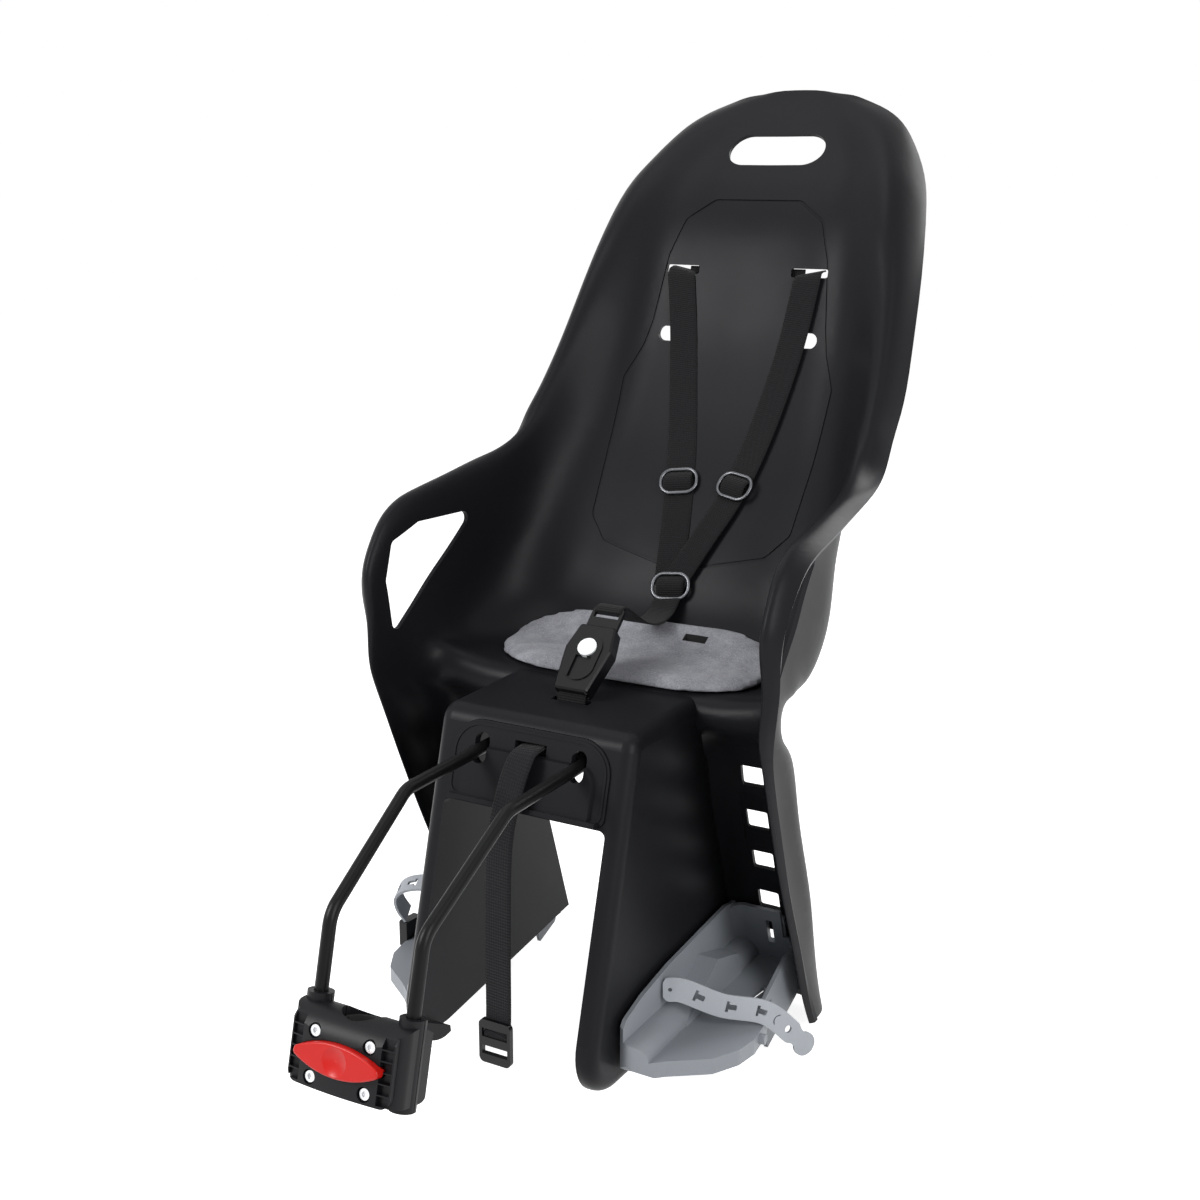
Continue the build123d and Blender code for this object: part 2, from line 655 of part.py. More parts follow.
# Seat shell: skin, wheel arch and every opening, moulded in one piece
ladder_places = [
    (side * LADDER_X, LADDER_TOP - step * LADDER_PITCH) for side in (1, -1) for step in range(LADDER_COUNT)
]
track_top = LADDER_TOP + LADDER_SLOT[1]
track_length = track_top - (STATIONS[-1][1] - STATIONS[21][1]) / cos(ladder_lean)
plate_places = [(side * ROD_SEAT_X, (ROD_Z - ARCH_TOP_FRONT[1]) / cos(arch_lean)) for side in (1, -1)]
strap_place = (0, PLATE_MIDDLE + STRAP_SLOT_UP)
with BuildPart() as seat_shell:
    add(skin)
    with BuildSketch(Plane(origin=(0, PAN_LINK_Y, STATIONS[-1][1] - 50))):
        Rectangle(2 * (ARCH_HALF_WIDTH - WALL), 260)
    extrude(amount=pan_under - 3 - (STATIONS[-1][1] - 50), mode=Mode.SUBTRACT)
    with BuildSketch(Plane(origin=(0, ARCH_SOLE_REAR[0], STATIONS[-1][1] - 50))):
        Rectangle(2 * LEG_TRIM[0], 100)
    extrude(amount=LEG_TRIM[1] - (STATIONS[-1][1] - 50), mode=Mode.SUBTRACT)
    add(wheel_arch.part)
    with BuildSketch(FACE):
        add(plate_outline(SLIDE_FIT))
    extrude(amount=-PLATE_RECESS, mode=Mode.SUBTRACT)
    with BuildSketch(FACE):
        with Locations(*plate_places):
            SlotOverall(ROD_SLOT[0] + 1, ROD_SLOT[1] + 1, rotation=90)
        with Locations(strap_place):
            Rectangle(*STRAP_SLOT)
    extrude(amount=-3 * ARCH_FACE_WALL, mode=Mode.SUBTRACT)
    with BuildSketch(Plane(origin=(0, CROTCH_Y, pan_under - WALL))):
        Rectangle(*CROTCH_SLOT)
    extrude(amount=3 * WALL, mode=Mode.SUBTRACT)
    add(panel_groove.part, mode=Mode.SUBTRACT)
    with BuildSketch(HANDLE):
        SlotOverall(*HANDLE_SIZE)
    extrude(amount=40, both=True, mode=Mode.SUBTRACT)
    with BuildSketch(Plane.XZ.offset(-STATIONS[9][0])):
        with Locations((SLOT_X, UPPER_SLOT_Z), (-SLOT_X, UPPER_SLOT_Z)):
            RectangleRounded(*UPPER_SLOT_SIZE, 2)
        with Locations((SLOT_X, LOWER_SLOT_Z), (-SLOT_X, LOWER_SLOT_Z)):
            SlotOverall(*LOWER_SLOT_SIZE)
    extrude(amount=-100, mode=Mode.SUBTRACT)
    with BuildSketch(Plane.YZ) as arm_hole:
        Polygon(*ARM_HOLE, align=None)
        fillet(arm_hole.vertices(), radius=ARM_HOLE_ROUND)
    extrude(amount=1.5 * STATIONS[12][7][0], both=True, mode=Mode.SUBTRACT)
    with BuildSketch(LADDER.offset(WALL)):
        with Locations((LADDER_X, track_top - track_length / 2), (-LADDER_X, track_top - track_length / 2)):
            Rectangle(LADDER_TRACK_WIDTH, track_length + 20)
    extrude(amount=-WALL - LADDER_TRACK_DEPTH, mode=Mode.SUBTRACT)
    with BuildSketch(LADDER):
        with Locations(*ladder_places):
            RectangleRounded(*LADDER_SLOT, 2)
    extrude(amount=3 * WALL, both=True, mode=Mode.SUBTRACT)

# Front plate in the recess of the arch face
plate_floor = FACE.offset(-PLATE_RECESS)
plate_bottom = PLATE_MIDDLE - PLATE_SIZE[1] / 2
with BuildPart() as front_plate:
    with BuildSketch(plate_floor):
        add(plate_outline(0))
    extrude(amount=PLATE_BASE)
    with BuildSketch(plate_floor.offset(PLATE_BASE)):
        add(plate_outline(-PLATE_BEAD_INSET))
        add(plate_outline(-PLATE_BEAD_INSET - PLATE_BEAD[0]), mode=Mode.SUBTRACT)
    extrude(amount=PLATE_BEAD[1])
    with BuildSketch(plate_floor.offset(PLATE_BASE)) as panel:
        with Locations((0, plate_bottom + PLATE_PANEL[1] / 2)):
            Rectangle(*PLATE_PANEL)
        fillet(panel.vertices().group_by(Axis.Y)[-1], radius=PLATE_PANEL_ROUND)
    extrude(amount=PLATE_RAISE, taper=25)
    with BuildSketch(plate_floor.offset(PLATE_BASE)):
        with Locations((0, plate_bottom + PLATE_LEDGE[1] / 2)):
            Rectangle(*PLATE_LEDGE)
    extrude(amount=PLATE_RAISE + PLATE_LEDGE_PROUD)
    with BuildSketch(plate_floor):
        with Locations(*plate_places):
            SlotOverall(*ROD_SLOT, rotation=90)
        with Locations(strap_place):
            Rectangle(*STRAP_SLOT)
    extrude(amount=PLATE_BASE + 2 * PLATE_RAISE, mode=Mode.SUBTRACT)

# Bracket under the pan, and the plate that clamps it to the rods
rod_radius = ROD_DIAMETER / 2
bracket_middle = (BRACKET_FRONT + BRACKET_REAR) / 2
bracket_length = BRACKET_REAR - BRACKET_FRONT
bolt_places = [
    (side * BRACKET_BOLT_X, y)
    for side in (1, -1)
    for y in (BRACKET_FRONT + BRACKET_BOLT_INSET, BRACKET_REAR - BRACKET_BOLT_INSET)
]


def bracket_half(bottom, top):
    """One half of the rod bracket, with rod grooves, bolt holes and the strap window."""
    with BuildPart() as half:
        with BuildSketch(Plane.XY.offset(bottom)):
            with Locations((0, bracket_middle)):
                RectangleRounded(2 * BRACKET_HALF_WIDTH, bracket_length, BRACKET_ROUND)
            with Locations((0, CROTCH_Y)):
                Rectangle(*BRACKET_WINDOW, mode=Mode.SUBTRACT)
            with Locations(*bolt_places):
                Circle(BOLT_RADIUS + SCREW_FIT, mode=Mode.SUBTRACT)
        extrude(amount=top - bottom)
        with BuildSketch(Plane.XZ.offset(-BRACKET_FRONT)):
            with Locations((ROD_SEAT_X, ROD_Z), (-ROD_SEAT_X, ROD_Z)):
                Circle(rod_radius + SLIDE_FIT)
        extrude(amount=-bracket_length, mode=Mode.SUBTRACT)
    return half.part


with BuildPart() as carrier_bracket:
    add(bracket_half(ROD_Z + BRACKET_SPLIT, pan_under))

with BuildPart() as carrier_clamp_plate:
    add(bracket_half(BRACKET_BOTTOM, ROD_Z - BRACKET_SPLIT))

with BuildPart() as bracket_bolts:
    with BuildSketch(Plane.XY.offset(BRACKET_BOTTOM)):
        with Locations(*bolt_places):
            Circle(BOLT_HEAD_RADIUS)
    extrude(amount=-BOLT_HEAD_HEIGHT)
    with BuildSketch(Plane.XY.offset(BRACKET_BOTTOM)):
        with Locations(*bolt_places):
            Circle(BOLT_RADIUS)
    extrude(amount=BOLT_REACH)
    with BuildSketch(Plane.XY.offset(BRACKET_BOTTOM - BOLT_HEAD_HEIGHT)):
        with Locations(*bolt_places):
            RegularPolygon(BOLT_RADIUS, 6)
    extrude(amount=BOLT_HEAD_HEIGHT / 2, mode=Mode.SUBTRACT)


def rod_leg(side):
    """Corner points of one leg of the carrier rod, from its foot in the clamp to the rear."""
    return [
        CLAMP.from_local_coords(Vector(side * ROD_BLOCK_X, 0, ROD_FOOT)),
        CLAMP.from_local_coords(Vector(side * ROD_BLOCK_X, 0, ROD_LOW_BEND)),
        Vector(side * ROD_SEAT_X, ROD_HIGH_BEND_Y, ROD_Z),
        Vector(side * ROD_SEAT_X, ROD_REAR_Y, ROD_Z),
    ]


# Carrier rod: one bent bar, notched near its feet for the latches
notch_floor = CLAMP.offset(BUTTON_Z - LATCH_HEIGHT / 2 - SLIDE_FIT)
notch_inner = ROD_BLOCK_X - ROD_DIAMETER
notch_outer = LATCH_TIP + 0.5
with BuildPart() as carrier_rod:
    with BuildLine() as rod_line:
        FilletPolyline(*rod_leg(-1), *reversed(rod_leg(1)), radius=ROD_BEND)
    with BuildSketch(Plane(origin=rod_line.line @ 0, z_dir=rod_line.line % 0)):
        Circle(rod_radius)
    sweep()
    with BuildSketch(notch_floor):
        for side in (1, -1):
            with Locations((side * (notch_inner + notch_outer) / 2, (LATCH_BACK + LATCH_SHOULDER) / 2)):
                Rectangle(notch_outer - notch_inner, LATCH_BACK - LATCH_SHOULDER + 2 * SLIDE_FIT)
    extrude(amount=LATCH_HEIGHT + 2 * SLIDE_FIT, mode=Mode.SUBTRACT)

# Clamp block: two housings round the seat tube, pads, cover, screws and nuts
block_height = BLOCK_TOP - BLOCK_BOTTOM
block_floor = CLAMP.offset(BLOCK_BOTTOM)
pad_outer = TUBE_RADIUS + PAD_THICKNESS
rod_places = [(ROD_BLOCK_X, 0), (-ROD_BLOCK_X, 0)]
screw_places = [(side * SCREW_X, z) for side in (1, -1) for z in (SCREW_HIGH, SCREW_LOW)]
latch_room = LATCH_HEIGHT + 2 * LATCH_FIT


def housing_cuts():
    """Seat-tube bore, rod sockets and screw holes of a housing, as one cutting body."""
    with BuildPart() as cuts:
        with BuildSketch(CLAMP.offset(COLLAR_BOTTOM)):
            Circle(pad_outer + PAD_GAP)
        extrude(amount=COLLAR_TOP - COLLAR_BOTTOM)
        with BuildSketch(CLAMP.offset(ROD_FOOT)):
            with Locations(*rod_places):
                Circle(rod_radius + SLIDE_FIT)
        extrude(amount=COLLAR_TOP - ROD_FOOT)
        with BuildSketch(CLAMP_FACE):
            with Locations(*screw_places):
                Circle(SCREW_RADIUS + SCREW_FIT)
        extrude(amount=REAR_CROWN, both=True)
    return cuts.part


def block_form():
    """The outer form of the block: its front curves back into a crest, and its top falls to the rear."""
    fall = radians(BLOCK_FALL)
    middle = (BLOCK_DOME - COVER_CROWN, BLOCK_TOP - BLOCK_DOME)
    crest_rear = (middle[0] + BLOCK_DOME * sin(fall), middle[1] + BLOCK_DOME * cos(fall))
    with BuildPart() as form:
        with BuildSketch(CLAMP_SIDE):
            with BuildLine():
                ThreePointArc((-COVER_CROWN, middle[1]), (middle[0], BLOCK_TOP), crest_rear)
                Polyline(
                    crest_rear,
                    (REAR_CROWN, crest_rear[1] - (REAR_CROWN - crest_rear[0]) * tan(fall)),
                    (REAR_CROWN, BLOCK_BOTTOM),
                    (-COVER_CROWN, BLOCK_BOTTOM),
                    (-COVER_CROWN, middle[1]),
                )
            make_face()
        extrude(amount=BLOCK_HALF_WIDTH, both=True)
    return form.part


def collars():
    """The round sleeves of the rod sockets."""
    with BuildPart() as sleeves:
        with BuildSketch(CLAMP.offset(COLLAR_BOTTOM)):
            with Locations(*rod_places):
                Circle(COLLAR_RADIUS)
        extrude(amount=COLLAR_TOP - COLLAR_BOTTOM)
    return sleeves.part


with BuildPart() as rear_housing:
    with BuildSketch(block_floor):
        with BuildLine():
            Polyline(
                (-BLOCK_HALF_WIDTH, REAR_SIDE),
                (-BLOCK_HALF_WIDTH, -BLOCK_SPLIT),
                (BLOCK_HALF_WIDTH, -BLOCK_SPLIT),
                (BLOCK_HALF_WIDTH, REAR_SIDE),
            )
            ThreePointArc((BLOCK_HALF_WIDTH, REAR_SIDE), (0, REAR_CROWN), (-BLOCK_HALF_WIDTH, REAR_SIDE))
        make_face()
    extrude(amount=block_height)
    add(block_form(), mode=Mode.INTERSECT)
    rear_rims = rear_housing.faces().filter_by(GeomType.CYLINDER).sort_by(Axis(CLAMP.origin, CLAMP.y_dir))[-1]
    fillet(rear_rims.edges().sort_by(Axis(CLAMP.origin, CLAMP.z_dir))[0], radius=BLOCK_ROUND)
    add(collars())
    add(housing_cuts(), mode=Mode.SUBTRACT)
    with BuildSketch(CLAMP_FACE.offset(-NUT_SEAT)):
        with Locations(*screw_places):
            RegularPolygon(NUT_ACROSS / 2 + SCREW_FIT, 6, major_radius=False)
    extrude(amount=-REAR_CROWN, mode=Mode.SUBTRACT)
    split(bisect_by=CLAMP_FACE.offset(-BLOCK_SPLIT), keep=Keep.BOTTOM)

with BuildPart() as front_housing:
    with BuildSketch(block_floor):
        with Locations((0, -FRONT_DEPTH / 2)):
            plan = Rectangle(2 * BLOCK_HALF_WIDTH, FRONT_DEPTH)
        fillet(plan.vertices().sort_by(Axis(CLAMP.origin, CLAMP.y_dir))[:2], radius=FRONT_CORNER)
    extrude(amount=block_height)
    add(block_form(), mode=Mode.INTERSECT)
    add(collars())
    add(housing_cuts(), mode=Mode.SUBTRACT)
    with BuildSketch(CLAMP.offset(BUTTON_Z - latch_room / 2)):
        for side in (1, -1):
            with Locations((side * (LATCH_ROOM_INNER + LATCH_ROOM_OUTER) / 2, -FRONT_DEPTH / 2)):
                Rectangle(LATCH_ROOM_OUTER - LATCH_ROOM_INNER, FRONT_DEPTH)
    extrude(amount=latch_room, mode=Mode.SUBTRACT)
    split(bisect_by=CLAMP_FACE.offset(BLOCK_SPLIT), keep=Keep.TOP)

with BuildPart() as front_cover:
    with BuildSketch(block_floor):
        with BuildLine():
            Polyline(
                (COVER_HALF_WIDTH, -COVER_EDGE),
                (COVER_HALF_WIDTH, -FRONT_DEPTH),
                (-COVER_HALF_WIDTH, -FRONT_DEPTH),
                (-COVER_HALF_WIDTH, -COVER_EDGE),
            )
            ThreePointArc(
                (-COVER_HALF_WIDTH, -COVER_EDGE),
                (0, -COVER_CROWN),
                (COVER_HALF_WIDTH, -COVER_EDGE),
            )
        make_face()
    extrude(amount=block_height)
    cover_corners = front_cover.edges().filter_by(Axis(CLAMP.origin, CLAMP.y_dir))
    fillet(cover_corners.sort_by(Axis(CLAMP.origin, CLAMP.z_dir))[:2], radius=BLOCK_CORNER)
    add(block_form(), mode=Mode.INTERSECT)
    with BuildSketch(CLAMP_FACE.offset(FRONT_DEPTH)):
        add(lens_outline(BUTTON_FIT))
        with Locations(*screw_places):
            Circle(SCREW_RADIUS + SCREW_FIT)
    extrude(amount=COVER_CROWN, mode=Mode.SUBTRACT)
    with BuildSketch(CLAMP_FACE.offset(SCREW_HEAD_FACE - SCREW_HEAD_HEIGHT)):
        with Locations(*screw_places):
            Circle(SCREW_HEAD_RADIUS + SCREW_RECESS)
    extrude(amount=COVER_CROWN, mode=Mode.SUBTRACT)
    with BuildSketch(CLAMP_FACE.offset(COVER_EDGE - RIB_DEPTH)):
        for side in (1, -1):
            with Locations((side * RIB_X, RIB_MIDDLE)):
                with GridLocations(0, RIB_PITCH, 1, RIB_COUNT):
                    Rectangle(*RIB_SIZE)
    extrude(amount=COVER_CROWN, mode=Mode.SUBTRACT)


def pad_half(keep):
    """Half of the rubber ring that grips the seat tube."""
    with BuildPart() as ring:
        with BuildSketch(block_floor):
            Circle(pad_outer)
            Circle(TUBE_RADIUS, mode=Mode.SUBTRACT)
        extrude(amount=PAD_TOP - BLOCK_BOTTOM)
        split(bisect_by=CLAMP_FACE.offset(BLOCK_SPLIT if keep == Keep.TOP else -BLOCK_SPLIT), keep=keep)
    return ring.part


with BuildPart() as clamp_pad_front:
    add(pad_half(Keep.TOP))

with BuildPart() as clamp_pad_rear:
    add(pad_half(Keep.BOTTOM))

head_floor = CLAMP_FACE.offset(SCREW_HEAD_FACE - SCREW_HEAD_HEIGHT)
with BuildPart() as clamp_screws:
    with BuildSketch(head_floor):
        with Locations(*screw_places):
            Circle(SCREW_HEAD_RADIUS)
    extrude(amount=SCREW_HEAD_HEIGHT)
    with BuildSketch(head_floor):
        with Locations(*screw_places):
            Circle(SCREW_RADIUS)
    extrude(amount=-(SCREW_HEAD_FACE - SCREW_HEAD_HEIGHT + NUT_SEAT + NUT_HEIGHT + 1))
    with BuildSketch(CLAMP_FACE.offset(SCREW_HEAD_FACE)):
        with Locations(*screw_places):
            RegularPolygon(SCREW_KEY_RADIUS, 6)
    extrude(amount=-SCREW_HEAD_HEIGHT * 0.6, mode=Mode.SUBTRACT)

with BuildPart() as clamp_nuts:
    with BuildSketch(CLAMP_FACE.offset(-NUT_SEAT)):
        with Locations(*screw_places):
            RegularPolygon(NUT_ACROSS / 2, 6, major_radius=False)
            Circle(SCREW_RADIUS + NUT_FIT, mode=Mode.SUBTRACT)
    extrude(amount=-NUT_HEIGHT)

# Release button with its two prongs, and the latches that they draw in
prong_slope = (LATCH_SHOULDER_X - LATCH_RAMP_X) / (LATCH_SHOULDER - LATCH_FRONT)
prong_tip_x = LATCH_RAMP_X + (PRONG_TIP - LATCH_FRONT) * prong_slope + PRONG_FIT
prong_root_x = prong_tip_x - (PRONG_TIP - BUTTON_REAR) * prong_slope
with BuildPart() as release_button:
    with BuildSketch(CLAMP_FACE.offset(-BUTTON_REAR)):
        add(lens_outline(0))
    extrude(amount=BUTTON_REAR - BUTTON_FRONT)
    front_face = release_button.faces().sort_by(Axis(CLAMP_FACE.origin, CLAMP_FACE.z_dir))[-1]
    fillet(front_face.edges(), radius=BUTTON_ROUND)
    with BuildSketch(CLAMP.offset(BUTTON_Z)):
        with Locations((0, BUTTON_FRONT - BUTTON_DISH_RADIUS + BUTTON_DISH_DEPTH)):
            Circle(BUTTON_DISH_RADIUS)
            Rectangle(
                BUTTON_DISH_RADIUS,
                2 * BUTTON_DISH_RADIUS,
                align=(Align.MAX, Align.CENTER),
                mode=Mode.SUBTRACT,
            )
    dish_line = Axis(CLAMP.from_local_coords(Vector(0, BUTTON_FRONT, BUTTON_Z)), CLAMP.y_dir)
    revolve(axis=dish_line, mode=Mode.SUBTRACT)
    with BuildSketch(CLAMP.offset(BUTTON_Z - PRONG_HEIGHT / 2)):
        for side in (1, -1):
            Polygon(
                (side * prong_root_x, BUTTON_REAR - 1),
                (side * prong_root_x, BUTTON_REAR),
                (side * prong_tip_x, PRONG_TIP),
                (side * PRONG_OUTER, PRONG_TIP),
                (side * PRONG_OUTER, BUTTON_REAR - 1),
                align=None,
            )
    extrude(amount=PRONG_HEIGHT)

latch_floor = CLAMP.offset(BUTTON_Z - LATCH_HEIGHT / 2)
with BuildPart() as latch_left:
    with BuildSketch(latch_floor):
        Polygon(
            (LATCH_INNER, LATCH_BACK),
            (LATCH_TIP, LATCH_BACK),
            (LATCH_TIP, LATCH_SHOULDER),
            (LATCH_SHOULDER_X, LATCH_SHOULDER),
            (LATCH_RAMP_X, LATCH_FRONT),
            (LATCH_INNER, LATCH_FRONT),
            align=None,
        )
    extrude(amount=LATCH_HEIGHT)

with BuildPart() as latch_right:
    add(mirror(latch_left.part, about=Plane.YZ, mode=Mode.PRIVATE))

# Footrests on the ladders
foot_floor = (FOOT_BOTTOM - STATIONS[21][1]) / cos(ladder_lean)
foot_height = (HEEL_TOP - FOOT_BOTTOM) / cos(ladder_lean)
heel_base = Plane(LADDER.from_local_coords(Vector(0, foot_floor, 0)), x_dir=(1, 0, 0), z_dir=LADDER.y_dir)
room_side = FOOT_INNER + FOOT_WALL
room_far = 2 * FOOT_OUTER
with BuildPart() as footrest_left:
    with BuildSketch(Plane.XY.offset(FOOT_BOTTOM)) as sole:
        Polygon(*FOOT_PLAN, *FOOT_PLAN_REAR, align=None)
        for corner in FOOT_PLAN[1:]:
            fillet(sole.vertices().sort_by_distance(corner)[0], radius=FOOT_PLAN_ROUND)
    extrude(amount=FOOT_TOP - FOOT_BOTTOM)
    with BuildSketch(Plane.XZ):
        with BuildLine():
            Polyline(
                (room_side + FOOT_COVE, FOOT_DECK),
                (room_far, FOOT_DECK),
                (room_far, 0),
                (room_side, 0),
                (room_side, FOOT_DECK + FOOT_COVE),
            )
            RadiusArc((room_side, FOOT_DECK + FOOT_COVE), (room_side + FOOT_COVE, FOOT_DECK), FOOT_COVE)
        make_face()
    extrude(amount=-2 * FOOT_REAR, mode=Mode.SUBTRACT)
    with BuildSketch(Plane.XY.offset(FOOT_BOTTOM)):
        offset(sole.sketch_local, amount=-FOOT_WALL)
    extrude(amount=FOOT_DECK - FOOT_WALL - FOOT_BOTTOM, mode=Mode.SUBTRACT)
    with BuildSketch(Plane.YZ.offset(FOOT_INNER - 1)):
        Polygon((0, 0), (0, FOOT_INNER_SIDE[0][1]), *FOOT_INNER_SIDE, (2 * FOOT_REAR, FOOT_INNER_SIDE[-1][1]),
                (2 * FOOT_REAR, 0), align=None)
    extrude(amount=room_far, mode=Mode.SUBTRACT)
    with BuildSketch(Plane.YZ.offset(FOOT_INNER - 1)):
        Polygon((0, FOOT_TOE_CUT[0][1]), *FOOT_TOE_CUT, (FOOT_TOE_CUT[-1][0], 2 * FOOT_BOTTOM),
                (0, 2 * FOOT_BOTTOM), align=None)
    extrude(amount=room_far, mode=Mode.SUBTRACT)
    with BuildSketch(heel_base):
        with BuildLine():
            heel = FilletPolyline(
                (FOOT_INNER, -3 * HEEL_ROUND),
                (FOOT_INNER, -HEEL_GAP),
                (HEEL_CORNER_X, -HEEL_GAP),
                (FOOT_OUTER, -HEEL_GAP - FOOT_OUTER + HEEL_CORNER_X),
                (FOOT_OUTER, -OUTER_WALL_REACH),
                radius=[HEEL_ROUND, FOOT_WALL + 1, FOOT_WALL + 1],
            )
            offset(heel, amount=FOOT_WALL, side=Side.RIGHT)
        make_face()
    extrude(amount=foot_height)
    with BuildSketch(Plane.YZ.offset(HEEL_TOP_X)):
        Polygon(*FOOT_OUTER_SIDE, (FOOT_OUTER_SIDE[-1][0], 0), (FOOT_REAR + 20, 0), align=None)
    extrude(amount=FOOT_OUTER, mode=Mode.SUBTRACT)
    split(bisect_by=LADDER.offset(HEEL_GAP), keep=Keep.TOP)
    with BuildSketch(Plane.YZ.offset(FOOT_INNER)):
        Polygon(*GUSSET_SIDE, align=None)
    extrude(amount=GUSSET_REACH)
    with BuildSketch(LADDER.offset(SLIDE_FIT - LADDER_TRACK_DEPTH)):
        with Locations((LADDER_X, TONGUE_UP)):
            RectangleRounded(*TONGUE_SIZE, 3)
    extrude(amount=LADDER_TRACK_DEPTH + HEEL_GAP)
    with BuildSketch(LADDER):
        with Locations((HEEL_SLOT_X, HEEL_SLOT_UP)):
            RectangleRounded(*HEEL_SLOT, 1)
    extrude(amount=2 * FOOT_WALL, both=True, mode=Mode.SUBTRACT)
    with BuildSketch(Plane.XY.offset(FOOT_DECK)):
        with Locations(DECK_SLOT_PLACE):
            SlotOverall(*DECK_SLOT, rotation=DECK_SLOT_TURN)
    extrude(amount=FOOT_WALL, both=True, mode=Mode.SUBTRACT)

with BuildPart() as footrest_right:
    add(mirror(footrest_left.part, about=Plane.YZ, mode=Mode.PRIVATE))

with BuildPart() as foot_strap_left:
    add(ribbon(FOOT_STRAP_OPEN, FOOT_STRAP_ACROSS, FOOT_STRAP_WIDTH, FOOT_STRAP_THICKNESS))

with BuildPart() as foot_strap_right:
    add(ribbon(FOOT_STRAP_CLOSED, FOOT_STRAP_CLOSED_ACROSS, FOOT_STRAP_WIDTH, FOOT_STRAP_THICKNESS))


def skirt_plane(side, z):
    """Plane on the flat run of a footrest's skirt, facing away from the seat."""
    front = Vector(side * FOOT_PLAN[-2][0], FOOT_PLAN[-2][1], z)
    rear = Vector(side * FOOT_PLAN[-1][0], FOOT_PLAN[-1][1], z)
    run = rear - front
    return Plane(origin=(front + rear) / 2, x_dir=run, z_dir=run.cross(Vector(0, 0, side)))


with BuildPart() as foot_stud_left:
    with BuildSketch(skirt_plane(1, STUD_MIDDLE)):
        Circle(STUD_RADIUS)
    extrude(amount=STUD_LENGTH)

with BuildPart() as foot_clip_right:
    with BuildSketch(skirt_plane(-1, CLIP_MIDDLE)):
        RectangleRounded(*CLIP_SIZE, CLIP_ROUND)
    extrude(amount=CLIP_DEPTH)

# Seat cushion, lying on the pan
cushion_grid = skin_patch(CUSHION_BACK, CUSHION_FRONT, CUSHION_REACH, CUSHION_BLUNT, CUSHION_ROWS)
with BuildPart() as seat_cushion:
    add(sheet(lifted(cushion_grid, CUSHION_LIFT), lifted(cushion_grid, CUSHION_LIFT + CUSHION_THICKNESS)))

# Harness: shoulder straps, sliders, waist strap, buckle and crotch strap
left_rows = web_rows(LEFT_WEB_X, WEB_OVERLAP)
right_rows = web_rows(RIGHT_WEB_X, 0)
with BuildPart() as shoulder_strap_left:
    add(web(left_rows))

with BuildPart() as shoulder_strap_right:
    add(web(right_rows))

with BuildPart() as strap_slider_left:
    add(slider(left_rows, SLIDER_STEPS))

with BuildPart() as strap_slider_right:
    add(slider(right_rows, SLIDER_STEPS))

with BuildPart() as yoke_slider:
    add(slider(left_rows, WEB_STEPS))

with BuildPart() as waist_strap:
    add(ribbon(WAIST_PATH, (1, 0, 0), WEB_WIDTH, WEB_THICKNESS))

with BuildPart() as rear_strap:
    add(ribbon(REAR_STRAP_PATH, REAR_STRAP_ACROSS, WEB_WIDTH / 2, WEB_THICKNESS))

buckle_face = BUCKLE_DEPTH / 2 + BUCKLE_COLLAR_RAISE
with BuildPart() as buckle_housing:
    with BuildSketch(BUCKLE.offset(-BUCKLE_DEPTH / 2)) as case:
        with BuildLine():
            Polyline(
                (-BUCKLE_BASE_WIDTH / 2, BUCKLE_BASE),
                (BUCKLE_BASE_WIDTH / 2, BUCKLE_BASE),
                (BUCKLE_WIDTH / 2, 0),
                (BUCKLE_HEAD_WIDTH / 2, BUCKLE_HEAD),
                (-BUCKLE_HEAD_WIDTH / 2, BUCKLE_HEAD),
                (-BUCKLE_WIDTH / 2, 0),
                close=True,
            )
        make_face()
        fillet(case.vertices(), radius=BUCKLE_ROUND)
    extrude(amount=BUCKLE_DEPTH)
    chamfer(buckle_housing.faces().filter_by(BUCKLE).edges(), length=BUCKLE_EDGE)
    with BuildSketch(BUCKLE.offset(BUCKLE_DEPTH / 2)):
        with Locations((0, BUCKLE_COLLAR[0] / 2 - BUCKLE_COLLAR[1] / 2)):
            SlotOverall(BUCKLE_COLLAR[1], BUCKLE_COLLAR[0], rotation=90)
    extrude(amount=BUCKLE_COLLAR_RAISE)
    with BuildSketch(BUCKLE.offset(buckle_face)):
        with Locations((0, -BUCKLE_BUTTON_RADIUS - BUCKLE_CHANNEL[1] / 2)):
            Rectangle(*BUCKLE_CHANNEL)
    extrude(amount=-BUCKLE_CHANNEL_DEPTH, mode=Mode.SUBTRACT)
    with BuildSketch(BUCKLE.offset(-TONGUE_THICKNESS / 2 - SLIDE_FIT)):
        with Locations((0, BUCKLE_HEAD - TONGUE_DEPTH / 2 + 1)):
            Rectangle(TONGUE_WIDTH + 2 * SLIDE_FIT, TONGUE_DEPTH + 2)
        with Locations((0, BUCKLE_BASE)):
            Rectangle(CROTCH_WEB + 1, 2 * CROTCH_GRIP)
    extrude(amount=TONGUE_THICKNESS + 2 * SLIDE_FIT, mode=Mode.SUBTRACT)
    with BuildSketch(BUCKLE.offset(buckle_face)):
        Circle(BUCKLE_BUTTON_RADIUS + BUTTON_FIT)
    extrude(amount=-BUCKLE_BUTTON_LENGTH, mode=Mode.SUBTRACT)

with BuildPart() as buckle_button:
    with BuildSketch(BUCKLE.offset(buckle_face + BUCKLE_BUTTON_PROUD)):
        Circle(BUCKLE_BUTTON_RADIUS)
    extrude(amount=-BUCKLE_BUTTON_LENGTH)

